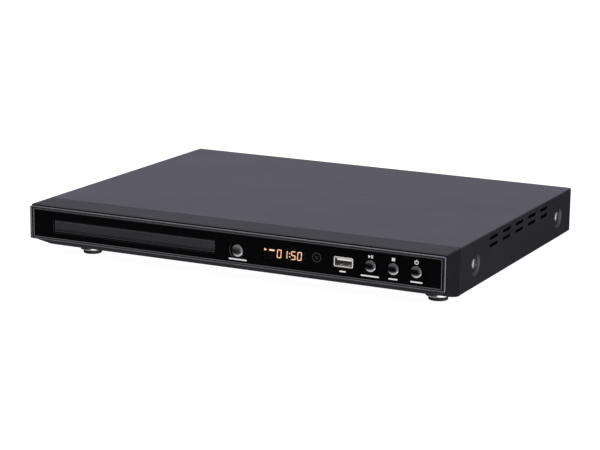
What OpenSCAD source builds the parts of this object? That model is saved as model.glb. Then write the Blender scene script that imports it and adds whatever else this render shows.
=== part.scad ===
// Slim table-top disc player with a motor-driven front tray.
// Millimetres, +Z up, front towards -Y. The origin is the middle of the
// whole object's box, on the surface that the feet stand on.

/* [Case] */
// Width of the case
case_w = 320; // [320:1:330]
// Depth of the case, from the front plane to the back of the cover
case_d = 249.5; // [249.5:0.5:251]
// Height of the case without its feet
case_h = 33; // [33:0.5:36]
// Thickness of the sheet steel
sheet = 0.8; // [0.6:0.1:0.8]
// Depth of the moulded front, up to the seam with the cover
bezel_d = 26.7; // [26:0.1:27]
// How far back the sloping chin reaches under the front
chin_d = 20.5; // [18:0.5:21]
// Height of the chin
chin_h = 8; // [7.5:0.1:8.4]
// Radius of the upper side edges
edge_r = 1.2; // [0.9:0.1:1.5]

/* [Vents and feet] */
// Vent slots in each row
vent_n = 5; // [3:1:6]
// Length of a vent slot
vent_l = 17; // [12:0.5:20]
// Height of a vent slot
vent_t = 2.4; // [1.2:0.1:2.8]
// Distance from one vent slot to the next
vent_pitch = 25.4; // [24:0.1:27]
// Height of a foot
foot_h = 4.5; // [4.5:0.1:5]
// Radius of the metal ring of a foot
foot_ring_r = 8.8; // [8:0.1:9.5]
// Radius of the rubber pad of a foot
foot_pad_r = 6.7; // [6:0.1:7]

/* [Tray] */
// Middle of the tray, measured across from the middle of the case
disc_x = -74.8; // [-75.5:0.1:-74.5]
// Middle of the disc behind the front plane, tray closed
disc_y = 70; // [69:0.5:71]
// Radius of the disc dish
dish_r = 60.5; // [60.2:0.1:60.8]
// Width of the tray door
door_w = 129.2; // [128.6:0.1:129.6]
// Height of the tray door
door_h = 8.1; // [7.8:0.1:8.4]
// Travel of the tray
tray_travel = 131; // [100:1:131]

/* [Disc drive] */
// Angle by which the traverse is lowered while the tray moves
lift_angle = 4.2; // [4.1:0.05:4.3]
// Gear module
gear_m = 1; // [1:1:1]
// Play on each flank of a tooth
tooth_play = 0.06; // [0.05:0.01:0.1]
// Radius of the guide rods
rod_r = 1.5; // [1.2:0.05:1.5]

/* [Buttons and sockets] */
// Radius of the open and close button
open_r = 4.3; // [4:0.1:4.6]
// Radius of the three small buttons
small_r = 4.1; // [3.6:0.1:4.15]
// Distance between the small buttons
small_pitch = 16.4; // [15.5:0.1:16.8]
// How far the buttons stand out
button_out = 1.5; // [1:0.1:2]
// How far the sound and picture jacks stand out at the back
jack_out = 8.5; // [7:0.5:9]

/* [Hidden] */

$fn = 48;
eps = 0.05;
hx = case_w / 2;
top_z = foot_h + case_h;
pan_z = foot_h + sheet;
y_front = -(case_d + jack_out - button_out) / 2;
trim_top = top_z - 1.1;
trim_bot = foot_h + chin_h;
door_z = top_z - 13.95;
open_x = 7.7;
open_z = top_z - 14.5;
usb_x = 86.9;
usb_z = top_z - 13.3;
play_x = 106.7;
small_z = top_z - 13.3;
screw_y = [54, 221.5];
screw_z = top_z - 17.2;
foot_xy = [[-126, 29.5], [144, 28.5], [-144, 222], [144, 222]];
hinge_y = 165;
hinge_z = 17.7;
gear_y = 34;
tray_gear_x = 45.5;
pulley_x = 27.5;
motor_x = -14;
tray_z = 21.2;
tray_top = 25.4;

// ---- helpers: x across, y behind the front plane, z above the floor ----
module at_front() { translate([0, y_front, 0]) children(); }
module at_disc() { translate([disc_x, y_front, 0]) children(); }
module lowered() {
  at_disc() translate([0, hinge_y, hinge_z]) rotate([lift_angle, 0, 0]) translate([0, -hinge_y, -hinge_z]) children();
}
module box(x0, x1, y0, y1, z0, z1) { translate([x0, y0, z0]) cube([x1 - x0, y1 - y0, z1 - z0]); }
module both() { children(); mirror([1, 0, 0]) children(); }
// flat shape drawn in x and z, made thick from y0 to y1
module along_y(y0, y1) { translate([0, y1, 0]) rotate([90, 0, 0]) linear_extrude(height = y1 - y0) children(); }
// flat shape drawn in y and z, made thick from x0 to x1
module along_x(x0, x1) { translate([x0, 0, 0]) rotate([90, 0, 90]) linear_extrude(height = x1 - x0) children(); }
module rod_y(r, y0, y1) { translate([0, y0, 0]) rotate([-90, 0, 0]) cylinder(r = r, h = y1 - y0); }
module rod_x(r, x0, x1) { translate([x0, 0, 0]) rotate([0, 90, 0]) cylinder(r = r, h = x1 - x0); }
module rod_z(r, z0, z1) { translate([0, 0, z0]) cylinder(r = r, h = z1 - z0); }
module round_rect(x0, x1, z0, z1, r) {
  translate([x0 + r, z0]) square([x1 - x0 - 2 * r, z1 - z0]);
  translate([x0, z0 + r]) square([x1 - x0, z1 - z0 - 2 * r]);
  for (x = [x0 + r, x1 - r], z = [z0 + r, z1 - r]) translate([x, z]) circle(r = r);
}
// pan-head screw, its head's seat at z = 0 and its shank below
module pan_screw(head_r, head_h, r, l) {
  difference() {
    union() {
      rotate_extrude() polygon([[0, -l], [r * 0.6, -l], [r, -l + 0.8], [r, 0], [head_r, 0], [head_r, head_h * 0.45],
        [head_r * 0.72, head_h * 0.9], [head_r * 0.4, head_h], [0, head_h]]);
    }
    for (a = [0, 90]) rotate([0, 0, a]) box(-head_r * 0.55, head_r * 0.55, -0.3, 0.3, head_h * 0.35, head_h + 1);
  }
}

// ---- case ----
module bottom_pan() {
  color("#8d8f92") at_front() difference() {
    union() {
      box(-hx + 2.2, hx - 2.2, bezel_d + 0.1, case_d, foot_h, pan_z);
      both() box(hx - 3, hx - 2.2, bezel_d + 0.1, case_d - 2, pan_z - eps, 24.6);
      box(-hx + 3.2, hx - 3.2, bezel_d + 0.1, bezel_d + 0.9, pan_z - eps, 6.6);
      box(-hx + 3.2, hx - 3.2, case_d - sheet, case_d, pan_z - eps, 9.5);
      // tongues that reach into the front
      for (x = [30, 80, 130]) box(x - 6, x + 6, 21.6, bezel_d + 0.2, 6.7, 7.5);
      for (x = [30, 80, 130]) box(x - 6, x + 6, bezel_d + 0.1, bezel_d + 0.9, foot_h, 7.5);
    }
    for (p = foot_xy) translate([p[0], p[1], 0]) rod_z(1.6, 0, 20);
    // room for the posts of the disc drive in the front upturn
    for (x = [disc_x - 72, disc_x + 72]) box(x - 5, x + 5, bezel_d, bezel_d + 1.5, pan_z, 7);
    // holes for the side catches of the front
    both() box(hx - 4, hx - 2, 27.8, 30.7, 14.8, 19.2);
    for (s = [-1, 1], y = screw_y) translate([0, y, screw_z]) rod_x(1.45, s > 0 ? hx - 4 : -hx, s > 0 ? hx : -hx + 4);
    for (i = [0:7], y = [196, 208]) box(-130 + i * 9, -126 + i * 9, y, y + 9, 0, 10);
    for (i = [0:6]) box(92 + i * 8, 95 + i * 8, 90, 112, 0, 10);
  }
}
module rear_panel() {
  color("#55575b") at_front() difference() {
    box(-hx + 3.2, hx - 3.2, case_d - 1.6, case_d - sheet - 0.02, pan_z, top_z - sheet);
    for (x = [-130, 0, 130]) translate([x, 0, top_z - 3]) rod_y(1.45, case_d - 5, case_d);
    // figure-of-eight mains inlet, its housing
    box(106.4, 133.6, case_d - 5, case_d, 13.4, 26.6);
    for (x = [-22, -8, 6]) translate([x, 0, 20]) rod_y(5.6, case_d - 5, case_d);
    box(-54.2, -37.8, case_d - 5, case_d, 10.6, 18.2);
    box(21, 69, case_d - 5, case_d, 12, 28.4);
    for (i = [0:7]) box(80 + i * 2.6, 81.4 + i * 2.6, case_d - 5, case_d, 15, 29);
  }
}
module cover_shape(r, z_low) {
  translate([-hx + r, z_low]) square([2 * (hx - r), top_z - z_low]);
  translate([-hx, z_low]) square([2 * hx, top_z - z_low - r]);
  for (s = [-1, 1]) translate([s * (hx - r), top_z - r]) circle(r = r);
}
module top_cover() {
  color("#5b5a62") at_front() difference() {
    union() {
      difference() {
        along_y(bezel_d, case_d) cover_shape(edge_r, foot_h);
        box(-hx + sheet, hx - sheet, bezel_d - 1, case_d + 1, foot_h - 1, top_z - sheet);
      }
      // hem along the bottom of each side, touching the pan
      both() box(hx - 2.2, hx - sheet + eps, bezel_d, case_d - 2, foot_h, pan_z);
      // lip down the back, over the rear panel
      box(-hx + sheet - eps, hx - sheet + eps, case_d - sheet, case_d, top_z - 6, top_z - sheet + eps);
      // backs of the pressed screw dimples
      for (m = [0, 1]) mirror([m, 0, 0]) for (y = screw_y) translate([hx - 2.2, y, screw_z]) rotate([0, 90, 0])
        cylinder(r1 = 7, r2 = 9.2, h = 1.4 + eps);
    }
    for (m = [0, 1]) mirror([m, 0, 0]) {
      for (y = screw_y) translate([hx - 1.4, y, screw_z]) rotate([0, 90, 0]) cylinder(r1 = 6.2, r2 = 8.4, h = 1.45);
      for (y = screw_y) translate([0, y, screw_z]) rod_x(1.5, hx - 4, hx);
      for (i = [0:vent_n - 1], z = [top_z - 5.1, top_z - 10.3]) translate([0, 79.5 + i * vent_pitch, z]) {
        box(hx - 2, hx + 1, vent_t / 2, vent_l - vent_t / 2, -vent_t / 2, vent_t / 2);
        for (y = [vent_t / 2, vent_l - vent_t / 2]) translate([0, y, 0]) rod_x(vent_t / 2, hx - 2, hx + 1);
      }
    }
    for (x = [-130, 0, 130]) translate([x, 0, top_z - 3]) rod_y(1.5, case_d - 5, case_d + 1);
  }
}
module case_screws() {
  color("#9a9a9c") at_front() {
    for (m = [0, 1]) mirror([m, 0, 0]) for (y = screw_y) translate([hx - 1.4, y, screw_z]) rotate([0, 90, 0])
      rotate([0, 0, 28]) pan_screw(3.7, 1.35, 1.4, 4.6);
    for (x = [-130, 0, 130]) translate([x, case_d, top_z - 3]) rotate([-90, 0, 0]) pan_screw(2.8, 1.5, 1.4, 4.6);
  }
}
function chin_corner(r, y) = concat([for (a = [0:15:90]) [-hx + r - r * cos(a), y + r - r * sin(a)]],
  [for (a = [0:15:90]) [hx - r + r * sin(a), y + r - r * cos(a)]], [[hx, bezel_d], [-hx, bezel_d]]);
module front_bezel() {
  color("#3b3a40") at_front() difference() {
    union() {
      along_x(-hx, hx) polygon([[1, trim_bot - 0.3], [1, trim_top - 0.1], [2.4, top_z - 0.45], [3.4, top_z - 0.15],
        [4.8, top_z], [bezel_d, top_z], [bezel_d, trim_bot - 0.3]]);
      // chin: slopes back towards the bottom, with rounded corners
      hull() {
        translate([0, 0, trim_bot - 0.3]) linear_extrude(height = 0.05) polygon(chin_corner(7, 1));
        translate([0, 0, foot_h]) linear_extrude(height = 0.05)
          polygon(chin_corner(bezel_d - chin_d, chin_d));
      }
    }
    // hollow inside
    box(-hx + 2, hx - 2, 3.6, bezel_d + 1, trim_bot + 1.5, top_z - 2.6);
    along_x(-hx + 7, hx - 7) polygon([[3.6, trim_bot + 2], [3.6, trim_bot + 1], [chin_d + 0.6, 6.6], [bezel_d + 1, 6.6],
      [bezel_d + 1, trim_bot + 2]]);
    // rounded upper side edges
    both() along_y(0, bezel_d + 1) difference() {
      translate([hx - edge_r, top_z - edge_r]) square(2);
      translate([hx - edge_r, top_z - edge_r]) circle(r = edge_r);
    }
    // shadow gap behind the silver trim
    along_y(0.95, 2.4) difference() {
      round_rect(-hx - 1, hx + 1, trim_bot - 2, trim_top + 2, 1);
      round_rect(-hx + 0.7, hx - 0.7, trim_bot + 0.7, trim_top - 0.6, 0.5);
    }
    // seat of the gloss panel
    along_y(-1, 1.6) round_rect(-hx + 2.2, hx - 2.2, trim_bot + 1.1, trim_top - 1.1, 1.2);
    tray_mouth();
    translate([open_x, 0, open_z]) rod_y(5, 0, 5);
    box(25.5, 60.5, 0, 5, door_z - 5, door_z + 5.5);
    box(usb_x - 7.4, usb_x + 7.4, 0, 5, usb_z - 3.8, usb_z + 3.8);
    for (i = [0:2]) translate([play_x + i * small_pitch, 0, small_z]) rod_y(4.3, 0, 5);
  }
  // side tabs with catches that hold in the pan
  color("#3b3a40") at_front() both() {
    box(hx - 5, hx - 3.05, bezel_d - 8, bezel_d + 8, 12, 22);
    box(hx - 3.1, hx - 2.35, 28, 30.5, 15, 19);
    box(hx - 5, hx - 1.95, bezel_d - 8, bezel_d - 1, 12, 22);
  }
  // posts that the front board sits on
  color("#3b3a40") at_front() for (p = board_posts) translate([p[0], 0, p[1]]) difference() {
    rod_y(2.2, 3.55, 13);
    rod_y(1.1, 6, 14);
  }
}
board_posts = [[18, 31.5], [68, 18], [99.3, 31.5], [149.5, 24.2]];
module tray_mouth() { box(disc_x - 65.4, disc_x + 65.4, -1, 5, door_z - door_h / 2 - 0.65, door_z + door_h / 2 + 0.65); }
module front_trim() {
  color("#c9c9cf") at_front() along_y(0, 1) difference() {
    round_rect(-hx, hx, trim_bot, trim_top, 1.3);
    round_rect(-hx + 1.5, hx - 1.5, trim_bot + 1.05, trim_top - 1, 0.6);
  }
}
module front_panel() {
  color("#0b0b0d") at_front() difference() {
    union() {
      along_y(0.3, 1.6) round_rect(-hx + 2.4, hx - 2.4, trim_bot + 1.3, trim_top - 1.3, 1);
      along_y(0.05, 0.35) difference() {
        round_rect(-hx + 2.4, hx - 2.4, trim_bot + 1.3, trim_top - 1.3, 1);
        round_rect(-hx + 3.2, hx - 3.2, trim_bot + 2.1, trim_top - 2.1, 0.6);
      }
    }
    tray_mouth();
    translate([open_x, 0.25, open_z]) rotate([-90, 0, 0]) cylinder(r1 = 6.2, r2 = 5.02, h = 1.4);
    box(26, 60, 0, 2, door_z - 4.1, door_z + 5.1);
    box(usb_x - 7.3, usb_x + 7.3, 0, 2, usb_z - 3.7, usb_z + 3.7);
    for (i = [0:2]) translate([play_x + i * small_pitch, 0.25, small_z]) rotate([-90, 0, 0])
      cylinder(r1 = 5.2, r2 = 4.32, h = 1.4);
  }
}
module display_window() {
  color("#1a1014", 0.6) at_front() box(26.05, 59.95, 0.3, 0.9, door_z - 4.05, door_z + 5.05);
}
module foot_rings() {
  color("#c4c5c8") at_front() for (p = foot_xy) translate([p[0], p[1], 0]) difference() {
    rotate_extrude() polygon([[2, foot_h], [foot_ring_r, foot_h], [foot_ring_r, 3.6], [foot_ring_r - 0.6, 2.9], [2, 2.9]]);
    rod_z(foot_pad_r + 0.05, 0, 3.5);
  }
}
module foot_pads() {
  color("#1c1c1d") at_front() for (p = foot_xy) translate([p[0], p[1], 0]) difference() {
    rotate_extrude() polygon([[1.7, 0], [foot_pad_r - 0.7, 0], [foot_pad_r, 0.7], [foot_pad_r, 3.45], [1.7, 3.45]]);
    rod_z(3.6, -1, 2);
  }
}
module foot_screws() {
  color("#8c8c8c") at_front() for (p = foot_xy) translate([p[0], p[1], 2]) mirror([0, 0, 1]) pan_screw(3.2, 1.4, 1.5, 4.4);
}

// ---- front electronics ----
module front_board() {
  color("#1f6b3a") at_front() difference() {
    box(0, 153, 13, 14.6, 15.6, 34);
    for (p = board_posts) translate([p[0], 0, p[1]]) rod_y(1.3, 12, 16);
  }
}
module tact_switches() {
  color("#2a2a2a") at_front() for (p = concat([[open_x, open_z]], [for (i = [0:2]) [play_x + i * small_pitch, small_z]])) {
    box(p[0] - 3, p[0] + 3, 9.7, 13, p[1] - 3, p[1] + 3);
    translate([p[0], 0, p[1]]) rod_y(1.7, 9, 9.75);
  }
}
module led_display() {
  color("#202022") at_front() {
    box(26.5, 59.5, 1.3, 9.5, door_z - 4, door_z + 5);
    for (i = [0:9], z = [-3, 4]) box(28.6 + i * 3.1, 29.1 + i * 3.1, 9.45, 13, door_z + z, door_z + z + 0.5);
  }
}
// one seven-segment digit drawn from its lit bars, w wide and h high, with a slant
function seg_lit(d) = [[1,1,1,1,1,1,0],[0,1,1,0,0,0,0],[1,1,0,1,1,0,1],[1,1,1,1,0,0,1],[0,1,1,0,0,1,1],[1,0,1,1,0,1,1],
  [1,0,1,1,1,1,1],[1,1,1,0,0,0,0],[1,1,1,1,1,1,1],[1,1,1,1,0,1,1]][d];
module seg_bar(l, t) { polygon([[-l / 2 + t / 2, -t / 2], [l / 2 - t / 2, -t / 2], [l / 2, 0], [l / 2 - t / 2, t / 2],
  [-l / 2 + t / 2, t / 2], [-l / 2, 0]]); }
module digit(d, w, h, t) {
  l = (h - t) / 2;
  ww = w - t;
  at = [[0, h / 2 - t / 2, 0], [ww / 2, l / 2, 90], [ww / 2, -l / 2, 90], [0, -h / 2 + t / 2, 0], [-ww / 2, -l / 2, 90],
    [-ww / 2, l / 2, 90], [0, 0, 0]];
  for (i = [0:6]) if (seg_lit(d)[i] == 1) translate([at[i][0] + at[i][1] * 0.08, at[i][1]]) rotate(at[i][2])
    seg_bar(at[i][2] == 90 ? l - 0.12 : ww - 0.12, t);
}
module display_segments() {
  color("#ff7a1a") at_front() along_y(1.05, 1.3) translate([0, door_z + 0.65]) {
    for (c = [[39, 0], [43.5, 1], [49.6, 5], [54.2, 0]]) translate([c[0], 0]) digit(c[1], 3.2, 5.8, 0.62);
    for (z = [-1.15, 1.15]) translate([46.9, z]) circle(r = 0.4);
    translate([27.9, 1.95]) polygon([[0, -0.85], [1.6, 0], [0, 0.85]]);
    translate([33.5, 1.95]) square([3.8, 0.9], center = true);
  }
}
module ir_receiver() {
  color("#26222a") at_front() {
    box(69.6, 75.6, 5, 9, door_z - 2, door_z + 5);
    translate([72.6, 0, door_z + 1.5]) rod_y(2.2, 3.7, 5.05);
    for (x = [70.6, 72.35, 74.1]) box(x, x + 0.5, 8.95, 13, door_z - 1.5, door_z - 1);
  }
}
module usb_shell() {
  color("#d5d6da") at_front() difference() {
    union() {
      box(usb_x - 6.6, usb_x + 6.6, 0.4, 13, usb_z - 2.95, usb_z + 2.95);
      box(usb_x - 7.1, usb_x + 7.1, 0.1, 0.5, usb_z - 3.5, usb_z + 3.5);
    }
    box(usb_x - 6.25, usb_x + 6.25, -1, 12.5, usb_z - 2.56, usb_z + 2.56);
  }
}
module usb_tongue() {
  color("#e6e6e0") at_front() {
    box(usb_x - 5.6, usb_x + 5.6, 3, 12.4, usb_z + 0.5, usb_z + 2.25);
    box(usb_x - 6.2, usb_x + 6.2, 11.4, 12.45, usb_z - 2.5, usb_z + 2.5);
  }
}

// ---- sockets at the back ----
module mains_inlet() {
  color("#19191a") at_front() difference() {
    union() {
      box(106.6, 133.4, 236, case_d - 0.7, 13.6, 26.4);
      along_y(case_d - sheet, case_d + 1.2) round_rect(104.5, 135.5, 11.5, 28.5, 1.5);
    }
    for (s = [-1, 1]) translate([120 + s * 4.4, 0, 20]) rod_y(4.7, 238, case_d + 3);
    box(115.6, 124.4, 238, case_d + 3, 15.9, 24.1);
  }
  color("#c8b46a") at_front() for (s = [-1, 1]) translate([120 + s * 4.3, 0, 20]) rod_y(1.15, 230, 245.8);
}
module av_jacks() {
  color("#232325") at_front() difference() {
    union() {
      box(-29.5, 13.5, 232, case_d - 1.7, 10.95, 27.5);
      for (x = [-22, -8, 6]) translate([x, 0, 20]) rod_y(5.4, case_d - 1.8, case_d + 1.2);
    }
    for (x = [-22, -8, 6]) translate([x, 0, 20]) rod_y(4.25, 240, case_d + 5);
  }
}
module av_barrels() {
  color("#cfd0d2") at_front() for (x = [-22, -8, 6]) translate([x, 0, 20]) {
    difference() {
      rod_y(4.2, 240.1, case_d + jack_out);
      rod_y(3.1, case_d + 2, case_d + jack_out + 1);
    }
    difference() {
      rod_y(2.2, case_d + 1.9, case_d + jack_out - 0.6);
      rod_y(1.6, case_d + 2, case_d + jack_out + 1);
    }
  }
}
module hdmi_socket() {
  color("#bfc0c4") at_front() difference() {
    along_y(236, case_d + 0.3) polygon([[-53.6, 17.6], [-38.4, 17.6], [-38.4, 13.6], [-40.6, 11.2], [-51.4, 11.2], [-53.6, 13.6]]);
    along_y(238, case_d + 1) polygon([[-53.1, 17.1], [-38.9, 17.1], [-38.9, 13.8], [-40.8, 11.8], [-51.2, 11.8], [-53.1, 13.8]]);
  }
  color("#1c1c1e") at_front() box(-51.5, -40.5, 237.5, 244.5, 14.6, 15.6);
}
module scart_socket() {
  color("#1d1d1f") at_front() difference() {
    box(21.4, 68.6, 238, case_d + 0.8, 12.4, 28);
    along_y(243, case_d + 2) polygon([[23, 14], [67, 14], [67, 23], [63.5, 26.4], [23, 26.4]]);
  }
  // contact carrier in the middle of the socket
  color("#101012") at_front() box(26, 64, 242.5, 245.2, 17.2, 22.8);
}

// ---- boards ----
main_holes = [[-66, 191], [71, 191], [-66, 242], [71, 242]];
power_holes = [[88, 124], [149, 124], [88, 228], [149, 228]];
loader_holes = [[-72, 31], [72, 31], [-72, 176], [72, 176]];
module main_board() {
  color("#1c6a3c") at_front() difference() {
    box(-70, 75, 187, 246.5, 9.3, 10.9);
    for (p = main_holes) translate([p[0], p[1], 0]) rod_z(1.6, 8, 12);
  }
}
module main_chips() {
  color("#1b1b1d") at_front() {
    box(-22, 0, 203, 225, 10.9, 12.4);
    box(8, 18, 206, 216, 10.9, 12.1);
    box(24, 36, 203, 211, 10.9, 12);
    box(-46, -36, 206, 212, 10.9, 12.3);
    box(48, 54, 214, 220, 10.9, 12.6);
    box(100, 106, 200, 207, 10.9, 14.5);
  }
}
module capacitor(r, h) {
  rotate_extrude() polygon([[0, 0], [r, 0], [r, h * 0.1], [r - 0.4, h * 0.13], [r, h * 0.17], [r, h - 0.4], [r - 0.4, h],
    [r * 0.8, h], [r * 0.8, h - 0.2], [0, h - 0.2]]);
}
module capacitors() {
  color("#222a4a") at_front() translate([0, 0, 10.9]) {
    translate([137, 150, 0]) capacitor(8, 20);
    for (p = [[98, 220], [110, 220], [122, 222], [98, 134]]) translate([p[0], p[1], 0]) capacitor(4, 12);
    for (p = [[-58, 200], [-58, 210], [42, 206], [62, 206], [62, 214], [-30, 196]]) translate([p[0], p[1], 0]) capacitor(3, 7);
    box(132, 142, 200, 219, 0, 12);
  }
}
module board_connectors() {
  color("#e9e4d6") at_front() {
    box(-60, -36, 188.5, 193, 10.9, 16);
    box(8, 24, 188.5, 193, 10.9, 16);
    box(44, 60, 188.5, 196, 10.9, 18);
    box(92, 108, 224, 230, 10.9, 18);
    box(8, 20, 14.6, 18.5, 22, 26);
    box(136, 146, 222, 230, 10.9, 19);
  }
}
module power_board() {
  color("#b98a4a") at_front() difference() {
    box(84, 153, 120, 232, 9.3, 10.9);
    for (p = power_holes) translate([p[0], p[1], 0]) rod_z(1.6, 8, 12);
  }
}
module transformer() {
  color("#d9b84a") at_front() {
    box(106, 132, 160, 192, 10.9, 13);
    box(109, 129, 166, 186, 12.9, 31);
    box(105, 133, 170, 182, 13.1, 30);
  }
}
module heat_sink() {
  color("#b4b6ba") at_front() {
    box(90, 92, 142, 196, 10.9, 33);
    for (i = [0:6]) box(91.95, 98, 143 + i * 8, 144.6 + i * 8, 12.5, 33);
  }
}
module board_standoffs() {
  color("#aeb0b3") at_front() {
    for (p = concat(main_holes, power_holes)) translate([p[0], p[1], 0]) difference() {
      rod_z(3, pan_z, 9.3);
      rod_z(1.32, pan_z - 1, 10);
    }
    for (p = loader_holes) translate([disc_x + p[0], p[1], 0]) difference() {
      rod_z(4, pan_z, 7.2);
      rod_z(1.32, pan_z - 1, 10);
    }
  }
}
module inner_screws() {
  color("#c9c9c9") at_front() {
    for (p = concat(main_holes, power_holes)) translate([p[0], p[1], 10.9]) pan_screw(2.8, 1.8, 1.3, 5.2);
    for (p = loader_holes) translate([disc_x + p[0], p[1], 10.8]) pan_screw(3.2, 1.8, 1.3, 5.2);
    for (p = board_posts) translate([p[0], 14.6, p[1]]) rotate([-90, 0, 0]) pan_screw(2.3, 1.5, 1.08, 6);
  }
}
module ribbon_cables() {
  // flat cable from the front board, along the floor, to the main board
  color("#e8e8ea") at_front() {
    along_x(9, 19) polygon([[18.5, 23.7], [21, 23.7], [22.3, 22.5], [22.3, 8.2], [23.2, 7.3], [184, 7.3], [185.2, 8.4],
      [185.2, 13], [186, 13.8], [188.5, 13.8], [188.5, 14.4], [185.6, 14.4], [184.6, 13.4], [184.6, 8.7], [183.7, 7.9],
      [23.5, 7.9], [22.9, 8.5], [22.9, 22.8], [21.3, 24.3], [18.5, 24.3]]);
    // flat cable from the loader to the main board
    along_x(-58, -38) polygon([[182, 9.9], [184.6, 9.9], [186.2, 13], [188.5, 13], [188.5, 13.5], [185.9, 13.5], [184.3, 10.4],
      [182, 10.4]]);
  }
}
// a straight length of wire with a round end
module wire(p, q, r) {
  d = q - p;
  l = norm(d);
  translate(p) {
    rotate([0, acos(d[2] / l), atan2(d[1], d[0])]) cylinder(r = r, h = l);
    sphere(r = r);
  }
}
module wire_run(pts, r) { for (i = [0:len(pts) - 2]) wire(pts[i], pts[i + 1], r); }
// two leads from the inlet, and the loom from the power board to the main board
module power_leads() {
  color("#8c2a26") at_front() {
    for (s = [-1, 1]) wire_run([[120 + s * 4.3, 229.05, 20], [120 + s * 4.3, 227, 20], [120 + s * 4.3, 227, 11]], 0.9);
    for (i = [0:3]) wire_run([[48 + i * 2.6, 192, 18.85], [48 + i * 2.6, 192, 25], [95 + i * 2.6, 227, 25],
      [95 + i * 2.6, 227, 18]], 0.8);
  }
}

// ---- disc loader ----
// one tooth outline after another round a gear with n teeth; a tooth points along +X
function inv_deg(a) = tan(a) * 180 / PI - a;
function half_tooth(r, n) = let (rp = n * gear_m / 2, rb = rp * cos(20), a = r > rb ? acos(rb / r) : 0)
  90 / n - tooth_play / rp * 180 / PI + inv_deg(20) - inv_deg(a);
function gear_pts(n) = let (rp = n * gear_m / 2, ri = rp - 1.15 * gear_m, ro = rp + 0.85 * gear_m,
  rr = [ri, max(rp * cos(20), ri + 0.2), rp, rp + 0.45 * gear_m, ro])
  [for (k = [0:n - 1], j = [0:9]) let (i = j < 5 ? j : 9 - j, a = half_tooth(rr[i], n), t = k * 360 / n + (j < 5 ? -a : a))
    [rr[i] * cos(t), rr[i] * sin(t)]];
module gear(n, z0, z1) { translate([0, 0, z0]) linear_extrude(height = z1 - z0) polygon(gear_pts(n)); }
rack_x = tray_gear_x + 8 * gear_m;
// rack outline, teeth towards -X, with a gap level with the gear
function rack_pts(n) = concat([for (k = [0:n - 1], j = [0:3]) let (c = gear_y + PI * gear_m * (k - 1.5), h = PI * gear_m / 4 - tooth_play)
  [j == 0 || j == 3 ? rack_x + 1.15 * gear_m : rack_x - 0.85 * gear_m,
   c + (j < 2 ? -1 : 1) * (h + (j == 0 || j == 3 ? 1.15 : -0.85) * gear_m * tan(20))]],
  [[rack_x + 4, gear_y + PI * gear_m * (n - 1.5)], [rack_x + 4, gear_y - PI * gear_m * 2]]);

module loader_frame() {
  color("#303134") at_disc() difference() {
    union() {
      both() {
        box(64.3, 67, 21, 182, 6.9, 28);
        box(61, 64.35, 21, 182, 19, 20.9);
        for (y = [21, 62, 118, 166]) box(61.5, 64.35, y, y + 16, 25.75, 27);
        box(66.95, 77, 24.5, 37.5, 8, 10);
        box(66.95, 77, 169.5, 182, 8, 10);
        box(46.95, 64.35, 160, 170, 6.9, 8.65);
        box(47, 51, 160, 170, 8.6, 20.1);
        box(51, 56, 164, 166, 8.6, 16);
      }
      box(-64.35, 64.35, 21, 49.7, 6.9, 8.6);
      box(-64.35, 64.35, 169.2, 182, 6.9, 8.6);
      translate([motor_x, gear_y, 0]) rod_z(13, 8.55, 13);
      for (x = [-34, 34]) box(x - 2, x + 2, 45.4, 47.05, 8.55, 14);
      translate([tray_gear_x, gear_y, 0]) rod_z(2, 8.55, 20.9);
      translate([pulley_x, gear_y, 0]) rod_z(2, 8.55, 20.9);
      // socket for the flat cable
      box(16, 38, 174, 182, 8.55, 11.5);
    }
    translate([motor_x, gear_y, 0]) rod_z(12.1, 5, 20);
    box(-50, 50, 47.1, 49, 7.4, 9);
    // room for the pin of the lowered traverse
    box(-3, 3, 44.8, 49.8, 6, 9);
    both() translate([0, 165, hinge_z]) rod_x(2.05, 46, 52);
    for (p = loader_holes) translate([p[0], p[1], 0]) rod_z(4.05, 7, 11);
    both() for (y = [40, 90, 130]) box(60, 70, y, y + 14, 9.5, 16.5);
  }
}
module grommets() {
  color("#1a1a1a") at_disc() for (p = loader_holes) translate([p[0], p[1], 0])
    rotate_extrude() polygon([[1.5, 7.2], [4.9, 7.2], [4.9, 8], [4, 8], [4, 10], [4.9, 10], [4.9, 10.8], [1.5, 10.8]]);
}
module clamp_bridge() {
  color("#b9bbbe") at_disc() difference() {
    union() {
      box(-67, 67, disc_y - 11, disc_y + 11, 29.6, 30.6);
      translate([0, disc_y, 0]) rod_z(20, 29.6, 30.6);
      both() box(64.3, 67, disc_y - 11, disc_y + 11, 28, 29.65);
      for (y = [disc_y - 11, disc_y + 10.2]) box(-60, -18, y, y + 0.8, 30.55, 32);
      for (y = [disc_y - 11, disc_y + 10.2]) box(18, 60, y, y + 0.8, 30.55, 32);
    }
    translate([0, disc_y, 0]) rod_z(12, 29, 34);
  }
}
module clamp_puck() {
  color("#e4e4e0") at_disc() translate([0, disc_y, 0]) difference() {
    rotate_extrude() polygon([[0, 26.1], [14.5, 26.1], [14.5, 27.4], [13, 28.6], [10.5, 28.6], [10.5, 30.95], [14, 30.95],
      [14, 32.2], [0, 32.2]]);
    rod_z(8, 25, 27.6);
    rod_z(6.05, 30.1, 33);
  }
}
module puck_magnet() {
  color("#8b8d92") at_disc() translate([0, disc_y, 0]) rod_z(6, 30.1, 31.9);
}
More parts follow.
